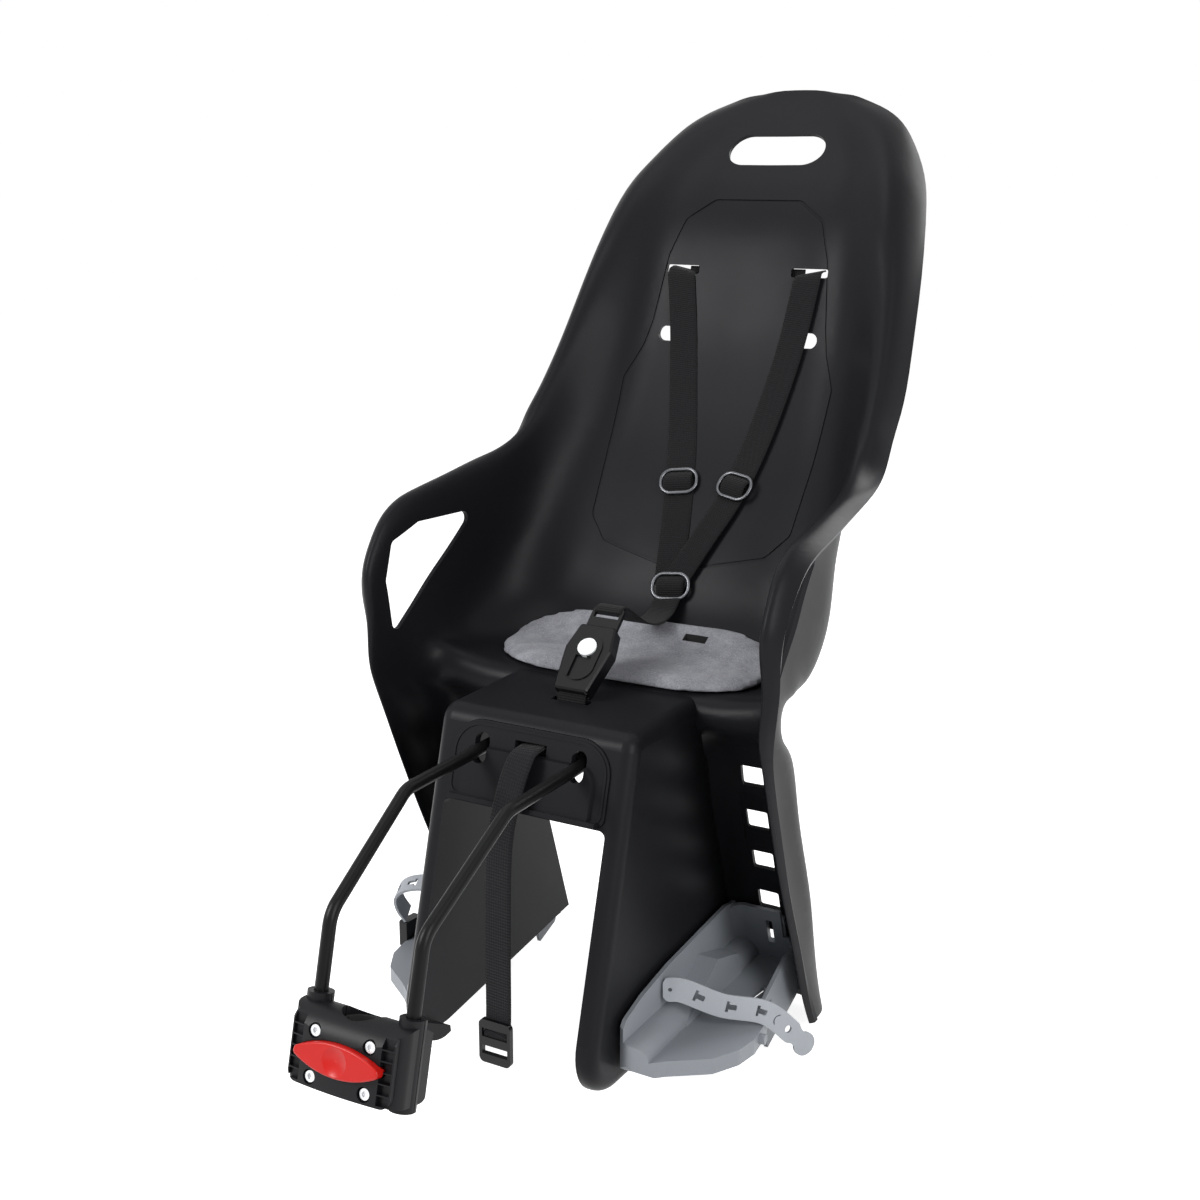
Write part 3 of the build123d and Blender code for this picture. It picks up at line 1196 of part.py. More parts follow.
with BuildPart() as buckle_tongue:
    with BuildSketch(BUCKLE.offset(-TONGUE_THICKNESS / 2)):
        with Locations((0, (TONGUE_TOP + BUCKLE_HEAD - TONGUE_DEPTH + SLIDE_FIT) / 2)):
            RectangleRounded(TONGUE_WIDTH, TONGUE_TOP - BUCKLE_HEAD + TONGUE_DEPTH - SLIDE_FIT, 3)
        with Locations((0, TONGUE_TOP - 8)):
            Rectangle(*TONGUE_WINDOW, mode=Mode.SUBTRACT)
    extrude(amount=TONGUE_THICKNESS)

with BuildPart() as crotch_strap:
    add(ribbon(CROTCH_PATH, (1, 0, 0), CROTCH_WEB, WEB_THICKNESS))

with BuildPart() as crotch_anchor:
    with BuildSketch(Plane(origin=(0, CROTCH_Y, pan_under - SLIDE_FIT))):
        RectangleRounded(ANCHOR_SIZE[0], ANCHOR_SIZE[1], 3)
        Rectangle(CROTCH_SLOT[0] - 2, CROTCH_SLOT[1] - 2, mode=Mode.SUBTRACT)
    extrude(amount=-ANCHOR_SIZE[2])

# Safety strap for the bicycle frame, with its ladder lock
with BuildPart() as safety_strap:
    add(ribbon(SAFETY_PATH, (1, 0, 0), SAFETY_WIDTH, SAFETY_THICKNESS))

with BuildPart() as safety_strap_lock:
    with BuildSketch(Plane(origin=LOCK_PLACE, x_dir=(1, 0, 0), z_dir=(0, -1, 0))):
        RectangleRounded(*LOCK_SIZE, 5)
        with Locations((0, LOCK_SIZE[1] / 5), (0, -LOCK_SIZE[1] / 5)):
            Rectangle(*LOCK_WINDOW, mode=Mode.SUBTRACT)
    extrude(amount=LOCK_THICKNESS)

pieces = {
    "seat_shell": seat_shell,
    "front_plate": front_plate,
    "carrier_bracket": carrier_bracket,
    "carrier_clamp_plate": carrier_clamp_plate,
    "bracket_bolts": bracket_bolts,
    "carrier_rod": carrier_rod,
    "front_cover": front_cover,
    "front_housing": front_housing,
    "rear_housing": rear_housing,
    "clamp_pad_front": clamp_pad_front,
    "clamp_pad_rear": clamp_pad_rear,
    "clamp_screws": clamp_screws,
    "clamp_nuts": clamp_nuts,
    "release_button": release_button,
    "latch_left": latch_left,
    "latch_right": latch_right,
    "footrest_left": footrest_left,
    "footrest_right": footrest_right,
    "foot_strap_left": foot_strap_left,
    "foot_strap_right": foot_strap_right,
    "foot_stud_left": foot_stud_left,
    "foot_clip_right": foot_clip_right,
    "seat_cushion": seat_cushion,
    "shoulder_strap_left": shoulder_strap_left,
    "shoulder_strap_right": shoulder_strap_right,
    "strap_slider_left": strap_slider_left,
    "strap_slider_right": strap_slider_right,
    "yoke_slider": yoke_slider,
    "waist_strap": waist_strap,
    "rear_strap": rear_strap,
    "buckle_housing": buckle_housing,
    "buckle_button": buckle_button,
    "buckle_tongue": buckle_tongue,
    "crotch_strap": crotch_strap,
    "crotch_anchor": crotch_anchor,
    "safety_strap": safety_strap,
    "safety_strap_lock": safety_strap_lock,
}
for name, piece in pieces.items():
    piece.part.label = name
    export_step(piece.part, f"parts/{name}.step")
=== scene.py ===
# %% [markdown]
# A child bike seat: one moulded shell, a harness, two footrests and a bent carrier rod in a clamp.
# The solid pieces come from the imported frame. This file gives them their finishes, and makes the
# soft goods that a solid can't show: webbing, foot straps and the felt pad.

# %% Load the frame
import math

import bmesh
import bpy
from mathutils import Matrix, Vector


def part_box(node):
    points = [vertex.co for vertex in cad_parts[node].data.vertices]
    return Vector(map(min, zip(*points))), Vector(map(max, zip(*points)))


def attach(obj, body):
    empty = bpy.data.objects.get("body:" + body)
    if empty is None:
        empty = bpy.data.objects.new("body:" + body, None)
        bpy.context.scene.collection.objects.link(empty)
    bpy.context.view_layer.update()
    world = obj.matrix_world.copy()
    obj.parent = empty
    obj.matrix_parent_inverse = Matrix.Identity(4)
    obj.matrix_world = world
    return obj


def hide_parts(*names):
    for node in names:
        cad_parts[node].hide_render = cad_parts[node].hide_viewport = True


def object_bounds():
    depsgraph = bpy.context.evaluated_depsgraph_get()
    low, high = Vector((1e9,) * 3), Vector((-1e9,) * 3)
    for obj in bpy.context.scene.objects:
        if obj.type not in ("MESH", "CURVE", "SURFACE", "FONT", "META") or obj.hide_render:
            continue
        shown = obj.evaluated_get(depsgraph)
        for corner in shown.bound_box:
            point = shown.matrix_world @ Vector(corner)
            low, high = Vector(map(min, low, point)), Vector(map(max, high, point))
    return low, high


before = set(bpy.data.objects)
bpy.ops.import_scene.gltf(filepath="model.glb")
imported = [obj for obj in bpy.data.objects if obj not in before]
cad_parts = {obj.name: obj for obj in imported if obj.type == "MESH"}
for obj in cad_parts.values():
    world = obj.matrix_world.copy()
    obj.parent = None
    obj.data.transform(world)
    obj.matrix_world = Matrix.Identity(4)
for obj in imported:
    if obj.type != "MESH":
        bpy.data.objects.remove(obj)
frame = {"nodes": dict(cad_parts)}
nodes = frame["nodes"]
cad_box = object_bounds()
scene = bpy.context.scene
print("pieces in the frame:", len(nodes))

# %% [markdown]
# The photo was taken from the front left of the rider, a little above the arm rests. The camera was
# worked out from pairs of points that mirror each other on the seat, so it is set by position and aim.

# %% Camera
camera_data = bpy.data.cameras.new("photo_camera")
camera = bpy.data.objects.new("photo_camera", camera_data)
scene.collection.objects.link(camera)
camera.location = (0.664, -0.830, 0.614)
aim = Vector((0.0, 0.348, 0.252)) - camera.location
camera.rotation_euler = aim.to_track_quat("-Z", "Y").to_euler()
camera_data.sensor_width = 36.0
camera_data.sensor_height = 36.0
camera_data.sensor_fit = "HORIZONTAL"
camera_data.lens = 49.2
camera_data.clip_end = 50.0
scene.camera = camera
print("camera stands", round(aim.length, 2), "m from the seat")

# %% [markdown]
# A studio for a black product: a pale floor, a soft key on the left of the camera, which throws the
# shadow of each strap to the right, a fill on the other side, a top light for the rims, a lamp behind for
# the back of the shell, and an even pale world. Black plastic is seen by what it reflects, so the lamps
# are large.

# %% Studio
def soft_lamp(name, place, size, watts):
    data = bpy.data.lights.new(name, "AREA")
    data.shape = "RECTANGLE"
    data.size, data.size_y = size
    data.energy = watts
    lamp = bpy.data.objects.new(name, data)
    scene.collection.objects.link(lamp)
    lamp.location = place
    lamp.rotation_euler = (Vector((0, 0.35, 0.25)) - lamp.location).to_track_quat("-Z", "Y").to_euler()
    return lamp


soft_lamp("key_lamp", (-1.1, -1.2, 1.35), (0.8, 0.8), 36)
soft_lamp("fill_lamp", (1.7, -0.6, 1.1), (0.7, 1.4), 26)
soft_lamp("top_lamp", (-0.4, 0.2, 2.4), (1.4, 1.0), 8)
soft_lamp("rear_lamp", (0.9, 2.4, 1.2), (1.2, 1.2), 22)

world = bpy.data.worlds.new("studio_air")
scene.world = world
world.use_nodes = True
scene.view_settings.view_transform = "Standard"

floor_mesh = bpy.data.meshes.new("studio_floor")
floor_z = cad_box[0].z - 0.004
floor_mesh.from_pydata(
    [(-6, -6, floor_z), (6, -6, floor_z), (6, 6, floor_z), (-6, 6, floor_z)], [], [(0, 1, 2, 3)]
)
floor = bpy.data.objects.new("studio_floor", floor_mesh)
scene.collection.objects.link(floor)
print("floor at", round(floor_z * 1000), "mm")

# %% [markdown]
# Colours are written as the hex values that a designer would read off a screen, and turned to the
# linear numbers that the shader wants by one function. One more function adds a shader node.

# %% Colour and node helpers
def colour(code):
    parts = [int(code[i : i + 2], 16) / 255 for i in (1, 3, 5)]
    linear = [p / 12.92 if p <= 0.04045 else ((p + 0.055) / 1.055) ** 2.4 for p in parts]
    return (*linear, 1.0)


def add_node(tree, kind, inputs=None, **settings):
    made = tree.nodes.new(kind)
    for name, value in settings.items():
        setattr(made, name, value)
    for name, value in (inputs or {}).items():
        if isinstance(value, bpy.types.NodeSocket):
            tree.links.new(value, made.inputs[name])
        else:
            made.inputs[name].default_value = value
    return made


def new_material(name):
    material = bpy.data.materials.new(name)
    material.use_nodes = True
    tree = material.node_tree
    shader = tree.nodes["Principled BSDF"]
    place = add_node(tree, "ShaderNodeTexCoord").outputs["Object"]
    return material, tree, shader, place


def noise(tree, place, size_mm, detail, distortion=0.0):
    """A noise with grains of that size, where object coordinates are metres."""
    inputs = {"Vector": place, "Scale": 1000.0 / size_mm, "Detail": detail, "Distortion": distortion}
    return add_node(tree, "ShaderNodeTexNoise", inputs)


def tinted(code, share):
    """The colour of a hex code, made darker or paler by a share."""
    return tuple(share * c for c in colour(code)[:3]) + (1.0,)


# %% [markdown]
# The ground is the clean white of a catalogue picture. What the camera sees of it, straight or mirrored
# in a glossy piece, is white, while the light that it throws on the seat stays at a plain level. The
# floor is part board, part glow, so it still keeps the soft shadow under the seat.

# %% White ground
def seen_share(tree):
    """1 for rays that the camera sends, straight or by way of gloss or glass, and 0 for the rest."""
    path = add_node(tree, "ShaderNodeLightPath")
    gloss = add_node(
        tree,
        "ShaderNodeMath",
        {0: path.outputs["Is Camera Ray"], 1: path.outputs["Is Glossy Ray"]},
        operation="MAXIMUM",
    )
    glass = add_node(
        tree,
        "ShaderNodeMath",
        {0: gloss.outputs[0], 1: path.outputs["Is Transmission Ray"]},
        operation="MAXIMUM",
    )
    return glass.outputs[0]


AIR_LIGHT = 0.2
FLOOR_GLOW = 0.86
air_tree = world.node_tree
air_strength = add_node(
    air_tree, "ShaderNodeMapRange", {"Value": seen_share(air_tree), "To Min": AIR_LIGHT, "To Max": 1.0}
)
air = air_tree.nodes["Background"]
air.inputs["Color"].default_value = (1, 1, 1, 1)
air_tree.links.new(air_strength.outputs["Result"], air.inputs["Strength"])

board, tree, shader, place = new_material("pale_board")
shader.inputs["Base Color"].default_value = colour("#ececec")
shader.inputs["Roughness"].default_value = 0.9
shader.inputs["Specular IOR Level"].default_value = 0.0
shader.inputs["Emission Color"].default_value = (1, 1, 1, 1)
glow = add_node(tree, "ShaderNodeMapRange", {"Value": seen_share(tree), "To Min": 0.0, "To Max": FLOOR_GLOW})
tree.links.new(glow.outputs["Result"], shader.inputs["Emission Strength"])
floor_mesh.materials.append(board)
print("ground is white to the camera")

# %% [markdown]
# The shell is polypropylene, injection moulded in a spark-eroded tool. The tool leaves a fine, even
# grain that breaks the highlight into a soft sheen. The grain is 0.3 mm on the real part, and is drawn
# at 1.2 mm because a finer one is lost in the picture.

# %% Moulded plastics
CLOUD_MM = 90.0


def moulded_plastic(name, code, roughness, grain_mm, grain_height, spread=0.06, gloss=0.5):
    material, tree, shader, place = new_material(name)
    grain = noise(tree, place, grain_mm, 3.0)
    cloud = noise(tree, place, CLOUD_MM, 2.0)
    rough = add_node(
        tree,
        "ShaderNodeMapRange",
        {"Value": cloud.outputs["Fac"], "To Min": roughness - spread, "To Max": roughness + spread},
    )
    bump = add_node(
        tree,
        "ShaderNodeBump",
        {"Height": grain.outputs["Fac"], "Strength": 0.5, "Distance": grain_height / 1000.0},
    )
    shade = add_node(
        tree,
        "ShaderNodeMix",
        {"Factor": grain.outputs["Fac"], "A": colour(code), "B": tinted(code, 1.15)},
        data_type="RGBA",
    )
    tree.links.new(shade.outputs["Result"], shader.inputs["Base Color"])
    tree.links.new(rough.outputs["Result"], shader.inputs["Roughness"])
    tree.links.new(bump.outputs["Normal"], shader.inputs["Normal"])
    shader.inputs["IOR"].default_value = 1.49
    shader.inputs["Specular IOR Level"].default_value = gloss
    return material


shell_polypropylene = moulded_plastic("black_polypropylene", "#161619", 0.4, 1.2, 0.04, gloss=0.1)
clamp_nylon = moulded_plastic("black_glass_filled_nylon", "#0e0e11", 0.44, 1.0, 0.05, gloss=0.2)
buckle_acetal = moulded_plastic("black_acetal", "#0b0b0d", 0.32, 1.0, 0.02, gloss=0.25)
footrest_polypropylene = moulded_plastic("grey_polypropylene", "#868a90", 0.46, 1.0, 0.03, gloss=0.4)
button_red = moulded_plastic("red_abs", "#b81813", 0.3, 0.9, 0.015, 0.03, 0.3)
button_white = moulded_plastic("white_abs", "#eef1f2", 0.3, 0.9, 0.015, 0.03)
strap_elastomer = moulded_plastic("grey_elastomer", "#a4a8ae", 0.55, 0.8, 0.03, gloss=0.4)
pad_rubber = moulded_plastic("black_rubber", "#1b1b1b", 0.8, 0.8, 0.05)
print("plastics made")

# %% [markdown]
# The carrier rod is bent steel bar with a black powder coat. A powder coat flows out in a faint
# orange peel, a few millimetres across, which makes the long highlight waver. The screws are zinc plated,
# pale and a little cloudy. The rings on the straps are wire with a black nickel plate, a darker metal.

# %% Powder coat and plated steel
rod_coat, tree, shader, place = new_material("black_powder_coat")
peel = noise(tree, place, 2.5, 1.0)
bump = add_node(
    tree, "ShaderNodeBump", {"Height": peel.outputs["Fac"], "Strength": 0.35, "Distance": 0.00006}
)
shader.inputs["Base Color"].default_value = colour("#0a0a0b")
shader.inputs["Roughness"].default_value = 0.36
shader.inputs["Specular IOR Level"].default_value = 0.15
tree.links.new(bump.outputs["Normal"], shader.inputs["Normal"])


def plated_metal(name, code, cloud_mm, smoothest, roughest):
    material, tree, shader, place = new_material(name)
    cloud = noise(tree, place, cloud_mm, 2.0)
    rough = add_node(
        tree,
        "ShaderNodeMapRange",
        {"Value": cloud.outputs["Fac"], "To Min": smoothest, "To Max": roughest},
    )
    shader.inputs["Base Color"].default_value = colour(code)
    shader.inputs["Metallic"].default_value = 1.0
    tree.links.new(rough.outputs["Result"], shader.inputs["Roughness"])
    return material


zinc_plate = plated_metal("zinc_plated_steel", "#d5d6d8", 1.6, 0.22, 0.4)
ring_nickel = plated_metal("black_nickel_wire", "#5c5d60", 2.0, 0.28, 0.42)
print("metals made")

# %% [markdown]
# The webbing is woven polyester, with a rib across its width at each weft thread. Every strap mesh
# carries two numbers per vertex, the distance along it and across it in millimetres, so the ribs follow
# the strap wherever it bends. They are drawn about twice as wide as real ones, which would be lost in the
# picture. The crest of each rib is painted lighter and its hollow darker, a painted light and shade. The
# pad is needled felt: short pale fibres that lie in every direction. Its two belt slots are painted near
# black inside and round their rims, a painted shade.

# %% Woven polyester and felt
MM = 0.001
SLOT_X = 46.0
SLOT_Y = 440.0
SLOT_SIZE = (22.0, 7.0)


def webbing_material(name, code, rib_mm):
    material, tree, shader, place = new_material(name)
    along = add_node(tree, "ShaderNodeAttribute", attribute_name="along_mm").outputs["Fac"]
    across = add_node(tree, "ShaderNodeAttribute", attribute_name="across_mm").outputs["Fac"]
    rib_turn = add_node(tree, "ShaderNodeMath", {0: along, 1: 2 * math.pi / rib_mm}, operation="MULTIPLY")
    rib = add_node(tree, "ShaderNodeMath", {0: rib_turn.outputs[0]}, operation="SINE")
    yarn_mm = 0.8 * rib_mm
    yarn_turn = add_node(tree, "ShaderNodeMath", {0: across, 1: 2 * math.pi / yarn_mm}, operation="MULTIPLY")
    yarn = add_node(tree, "ShaderNodeMath", {0: yarn_turn.outputs[0]}, operation="SINE")
    weave = add_node(
        tree, "ShaderNodeMath", {0: yarn.outputs[0], 1: 0.45, 2: rib.outputs[0]}, operation="MULTIPLY_ADD"
    )
    fuzz = noise(tree, place, 0.8, 2.0)
    height = add_node(
        tree,
        "ShaderNodeMath",
        {0: fuzz.outputs["Fac"], 1: 0.6, 2: weave.outputs[0]},
        operation="MULTIPLY_ADD",
    )
    bump = add_node(
        tree, "ShaderNodeBump", {"Height": height.outputs[0], "Strength": 0.9, "Distance": 0.00022}
    )
    # Painted light and shade: the crest of each rib is painted lighter and its hollow darker.
    painted_rib_light = add_node(
        tree, "ShaderNodeMapRange", {"Value": weave.outputs[0], "From Min": -1.4, "From Max": 1.4}
    )
    shade = add_node(
        tree,
        "ShaderNodeMix",
        {"Factor": painted_rib_light.outputs["Result"], "A": tinted(code, 0.5), "B": tinted(code, 1.6)},
        data_type="RGBA",
    )
    tree.links.new(shade.outputs["Result"], shader.inputs["Base Color"])
    tree.links.new(bump.outputs["Normal"], shader.inputs["Normal"])
    shader.inputs["Roughness"].default_value = 0.72
    shader.inputs["Sheen Weight"].default_value = 0.06
    shader.inputs["Specular IOR Level"].default_value = 0.15
    return material


harness_polyester = webbing_material("black_polyester_webbing", "#0d0d0f", 2.0)
safety_polyester = webbing_material("coarse_polyester_webbing", "#0f0f12", 2.8)

pad_felt, tree, shader, place = new_material("grey_needled_felt")
fibre = noise(tree, place, 1.6, 6.0, 1.5)
mottle = noise(tree, place, 14.0, 3.0)
tone = add_node(
    tree,
    "ShaderNodeMath",
    {0: mottle.outputs["Fac"], 1: 0.5, 2: fibre.outputs["Fac"]},
    operation="MULTIPLY_ADD",
)
shade = add_node(tree, "ShaderNodeValToRGB", {"Fac": tone.outputs[0]})
shade.color_ramp.elements[0].position = 0.45
shade.color_ramp.elements[0].color = colour("#66676d")
shade.color_ramp.elements[1].position = 1.0
shade.color_ramp.elements[1].color = colour("#a2a3aa")
bump = add_node(
    tree, "ShaderNodeBump", {"Height": fibre.outputs["Fac"], "Strength": 0.8, "Distance": 0.0004}
)
# Painted shade: the walls of both belt slots and a 0.4 mm rim round them are painted near black.
spot = add_node(tree, "ShaderNodeSeparateXYZ", {"Vector": place})
from_middle = add_node(tree, "ShaderNodeMath", {0: spot.outputs["X"]}, operation="ABSOLUTE")
in_width = add_node(
    tree,
    "ShaderNodeMath",
    {0: from_middle.outputs[0], 1: SLOT_X * MM, 2: (SLOT_SIZE[0] / 2 + 0.4) * MM},
    operation="COMPARE",
)
in_depth = add_node(
    tree,
    "ShaderNodeMath",
    {0: spot.outputs["Y"], 1: SLOT_Y * MM, 2: (SLOT_SIZE[1] / 2 + 0.4) * MM},
    operation="COMPARE",
)
painted_slot_shade = add_node(
    tree, "ShaderNodeMath", {0: in_width.outputs[0], 1: in_depth.outputs[0]}, operation="MULTIPLY"
)
felt_or_painted_slot_shade = add_node(
    tree,
    "ShaderNodeMix",
    {"Factor": painted_slot_shade.outputs[0], "A": shade.outputs["Color"], "B": colour("#0e0e10")},
    data_type="RGBA",
)
tree.links.new(felt_or_painted_slot_shade.outputs["Result"], shader.inputs["Base Color"])
tree.links.new(bump.outputs["Normal"], shader.inputs["Normal"])
shader.inputs["Roughness"].default_value = 0.95
shader.inputs["Sheen Weight"].default_value = 0.15
print("cloths made")

# %% [markdown]
# Each carried-over piece takes the finish of what it is made of, in its own material slot.

# %% Finish of the solid pieces
finishes = {
    "seat_shell": shell_polypropylene,
    "front_plate": shell_polypropylene,
    "carrier_bracket": clamp_nylon,
    "carrier_clamp_plate": clamp_nylon,
    "bracket_bolts": zinc_plate,
    "carrier_rod": rod_coat,
    "front_cover": clamp_nylon,
    "front_housing": clamp_nylon,
    "rear_housing": clamp_nylon,
    "clamp_pad_front": pad_rubber,
    "clamp_pad_rear": pad_rubber,
    "clamp_screws": zinc_plate,
    "clamp_nuts": zinc_plate,
    "release_button": button_red,
    "latch_left": zinc_plate,
    "latch_right": zinc_plate,
    "footrest_left": footrest_polypropylene,
    "footrest_right": footrest_polypropylene,
    "foot_stud_left": footrest_polypropylene,
    "foot_clip_right": buckle_acetal,
    "buckle_housing": buckle_acetal,
    "buckle_button": button_white,
    "buckle_tongue": buckle_acetal,
    "crotch_anchor": zinc_plate,
    "safety_strap_lock": buckle_acetal,
}
for name, material in finishes.items():
    piece = nodes[name]
    piece.data.materials.clear()
    piece.data.materials.append(material)
print("finished", len(finishes), "solid pieces")

# %% [markdown]
# A strap is a flat woven band. One function sweeps a thin section with soft selvedges along a line of
# points, and writes the two distances that the weave needs on every vertex. The line through a few
# guide points is a Catmull-Rom curve, which passes through each of them without a kink.

# %% Strap helpers
def smooth_line(guides, step_mm=2.0):
    """Points along the curve through the guide points, which are in millimetres, as vectors in metres."""
    points = [Vector(g) for g in guides]
    points = [2 * points[0] - points[1], *points, 2 * points[-1] - points[-2]]
    line = []
    for a, b, c, d in zip(points, points[1:], points[2:], points[3:]):
        count = max(2, math.ceil((c - b).length / step_mm))
        for i in range(count):
            t = i / count
            spot = 2 * b + (c - a) * t + (2 * a - 5 * b + 4 * c - d) * t**2 + (3 * b - a - 3 * c + d) * t**3
            line.append(spot * 0.5 * MM)
    line.append(points[-2] * MM)
    return line


def strap_frames(line, across):
    """Place, side and up at each point of a line, with the distance travelled in millimetres."""
    frames, travelled = [], 0.0
    for i, spot in enumerate(line):
        run = (line[min(i + 1, len(line) - 1)] - line[max(i - 1, 0)]).normalized()
        side = Vector(across)
        side = (side - run * side.dot(run)).normalized()
        travelled += (spot - line[i - 1]).length / MM if i else 0.0
        frames.append((spot, side, side.cross(run), travelled))
    return frames


def piece_from(name, mesh, material, body, replaced):
    """One soft piece in the scene: its material, the body it rides on and the solid that it stands for."""
    mesh.materials.clear()
    mesh.materials.append(material)
    piece = bpy.data.objects.new(name, mesh)
    scene.collection.objects.link(piece)
    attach(piece, body)
    if replaced:
        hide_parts(replaced)
    return piece


def woven_mesh(name, frames, width, thickness):
    """A closed band along the frames, with soft selvedges and the two distances that the weave follows."""
    columns = 9
    half, edge = width / 2, 0.45 * thickness
    flat = [(2 * c / (columns - 1) - 1) * (half - edge) for c in range(columns)]
    ring = [(x, thickness / 2) for x in flat] + [(half, 0.0)]
    ring += [(x, -thickness / 2) for x in reversed(flat)] + [(-half, 0.0)]
    count = len(ring)
    places = [spot + (side * x + up * z) * MM for spot, side, up, _ in frames for x, z in ring]
    faces = [tuple(range(count)), tuple(range(len(places) - count, len(places)))]
    for r in range(len(frames) - 1):
        for k in range(count):
            n = (k + 1) % count
            faces.append((r * count + k, r * count + n, (r + 1) * count + n, (r + 1) * count + k))
    mesh = bpy.data.meshes.new(name)
    mesh.from_pydata(places, [], faces)
    along = mesh.attributes.new("along_mm", "FLOAT", "POINT")
    along.data.foreach_set("value", [frame[3] for frame in frames for _ in ring])
    across = mesh.attributes.new("across_mm", "FLOAT", "POINT")
    across.data.foreach_set("value", [x for _ in frames for x, _ in ring])
    closed = bmesh.new()
    closed.from_mesh(mesh)
    bmesh.ops.recalc_face_normals(closed, faces=closed.faces)
    closed.to_mesh(mesh)
    closed.free()
    mesh.shade_smooth()
    mesh.set_sharp_from_angle(angle=math.radians(60))
    return mesh


# %% [markdown]
# The shoulder straps come out of the upper belt slots and lie on the back rest down to the yoke. The
# real webbing rests on the shell, so each point of a strap is found by casting a ray on the shell and
# standing off by half its thickness. At the top the strap turns back through its slot.

# %% Shoulder straps
HARNESS_WIDTH = 28.0
HARNESS_THICK = 1.7
shell = nodes["seat_shell"]


def on_back_rest(x, z, lift):
    """A place on the flat of the back rest, found on its middle line, where there are no belt slots."""
    found, spot, facing, _ = shell.ray_cast(Vector((0, 200.0, z)) * MM, Vector((0, 1, 0)))
    if not found:
        raise ValueError(f"no back rest at z {z:.1f}")
    facing = facing if facing.y < 0 else -facing
    return Vector((x * MM, spot.y, spot.z)) + Vector((0, facing.y, facing.z)).normalized() * lift * MM


def evened(line, passes=6):
    """The line with each inner point drawn towards its neighbours, so that it spans small dips."""
    for _ in range(passes):
        inner = [(a + 2 * b + c) / 4 for a, b, c in zip(line, line[1:], line[2:])]
        line = [line[0], *inner, line[-1]]
    return line


def shoulder_strap(name, node, stations, lifts, lean):
    """Lays one strap on the back rest, and gives back its frames for the ring that runs on it."""
    seen = smooth_line([(x, 0.0, z) for x, z in stations], 4.0)
    line = []
    for i, place in enumerate(seen):
        part = i / (len(seen) - 1)
        line.append(on_back_rest(place.x / MM, place.z / MM, lifts[0] + (lifts[1] - lifts[0]) * part**2))
    turn = [line[0] + Vector((0, y, z)) * MM for y, z in ((13, 4.5), (8, 4.5), (3, 3.6))]
    frames = strap_frames(turn + evened(line), (1, 0, lean))
    mesh = woven_mesh(name, frames, HARNESS_WIDTH, HARNESS_THICK)
    piece_from(name, mesh, harness_polyester, "seat", node)
    print(name, "is", round(frames[-1][3]), "mm long")
    return frames


RIGHT_STATIONS = [(-66, 506.5), (-46, 416), (-21, 324), (-10, 276), (-3, 234)]
LEFT_STATIONS = [(66, 506.5), (56, 416), (40, 324), (21, 276), (2, 234)]
right_frames = shoulder_strap("right_shoulder_web", "shoulder_strap_right", RIGHT_STATIONS, (1.9, 2.0), -0.2)
left_frames = shoulder_strap("left_shoulder_web", "shoulder_strap_left", LEFT_STATIONS, (1.9, 4.5), 0.2)

# %% [markdown]
# An oval ring runs on each strap, and a third one gathers both at the yoke. The web comes up through the
# ring, over a bar that it hides, and goes down again, so the ring frames a small roll of webbing. The ring
# is bent wire, so it is made by carrying a flat oval section round a rounded outline.

# %% Rings on the straps
RING_SIZE = (35.0, 24.0)
RING_CORNER = 10.5
RING_WIRE = (1.9, 1.7)
ROLL = [(-11, -2.6), (-8.5, -1.2), (-6, 0.8), (-2, 2.6), (2, 2.6), (6, 0.8), (8.5, -1.2), (11, -2.6)]


def ring_outline(width, height, corner, steps=8):
    """Points round an oval with straight sides, each with its outward direction."""
    outline = []
    for quarter, (right, top) in enumerate(((1, 1), (-1, 1), (-1, -1), (1, -1))):
        middle = Vector((right * (width / 2 - corner), top * (height / 2 - corner)))
        for k in range(steps + 1):
            turn = math.radians(90 * (quarter + k / steps))
            out = Vector((math.cos(turn), math.sin(turn)))
            outline.append((middle + corner * out, out))
    return outline


def wire_ring(name, centre, side, run, up):
    """A closed ring of flat oval wire round the strap."""
    outline = ring_outline(*RING_SIZE, RING_CORNER)
    section = [math.radians(36 * k) for k in range(10)]
    places = []
    for point, out in outline:
        spot = centre + (side * point.x + run * point.y) * MM
        outward = side * out.x + run * out.y
        for a in section:
            rim = outward * RING_WIRE[0] * math.cos(a) + up * RING_WIRE[1] * math.sin(a)
            places.append(spot + rim * MM)
    count, rows = len(section), len(outline)
    faces = []
    for r in range(rows):
        for k in range(count):
            n, q = (k + 1) % count, (r + 1) % rows
            faces.append((r * count + k, q * count + k, q * count + n, r * count + n))
    mesh = bpy.data.meshes.new(name)
    mesh.from_pydata(places, [], faces)
    mesh.shade_smooth()
    return mesh


def ring_on_strap(name, node, frames):
    """Sets a ring where its solid is, in line with the strap, and rolls the web over its bar."""
    low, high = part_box(node)
    centre = (Vector(low) + Vector(high)) / 2
    _, side, back, _ = min(frames, key=lambda frame: (frame[0] - centre).length)
    up, run = -back, side.cross(back)
    piece_from(name + "_ring", wire_ring(name, centre, side, run, up), ring_nickel, "seat", node)
    line = [centre / MM + run * along + up * rise for along, rise in ROLL]
    mesh = woven_mesh(name + "_roll", strap_frames(smooth_line(line), side), HARNESS_WIDTH - 2, HARNESS_THICK)
    piece_from(name + "_roll", mesh, harness_polyester, "seat", None)


ring_on_strap("right_strap", "strap_slider_right", right_frames)
ring_on_strap("left_strap", "strap_slider_left", left_frames)
ring_on_strap("yoke", "yoke_slider", right_frames)
print("rings: 3")

# %% [markdown]
# The other webbing hangs free between two fixings: from the yoke to the buckle tongue, from the buckle
# to its anchor under the pan, behind the back rest between the belt slots, and from the front plate
# down to the ladder lock that holds the strap for the bicycle frame.

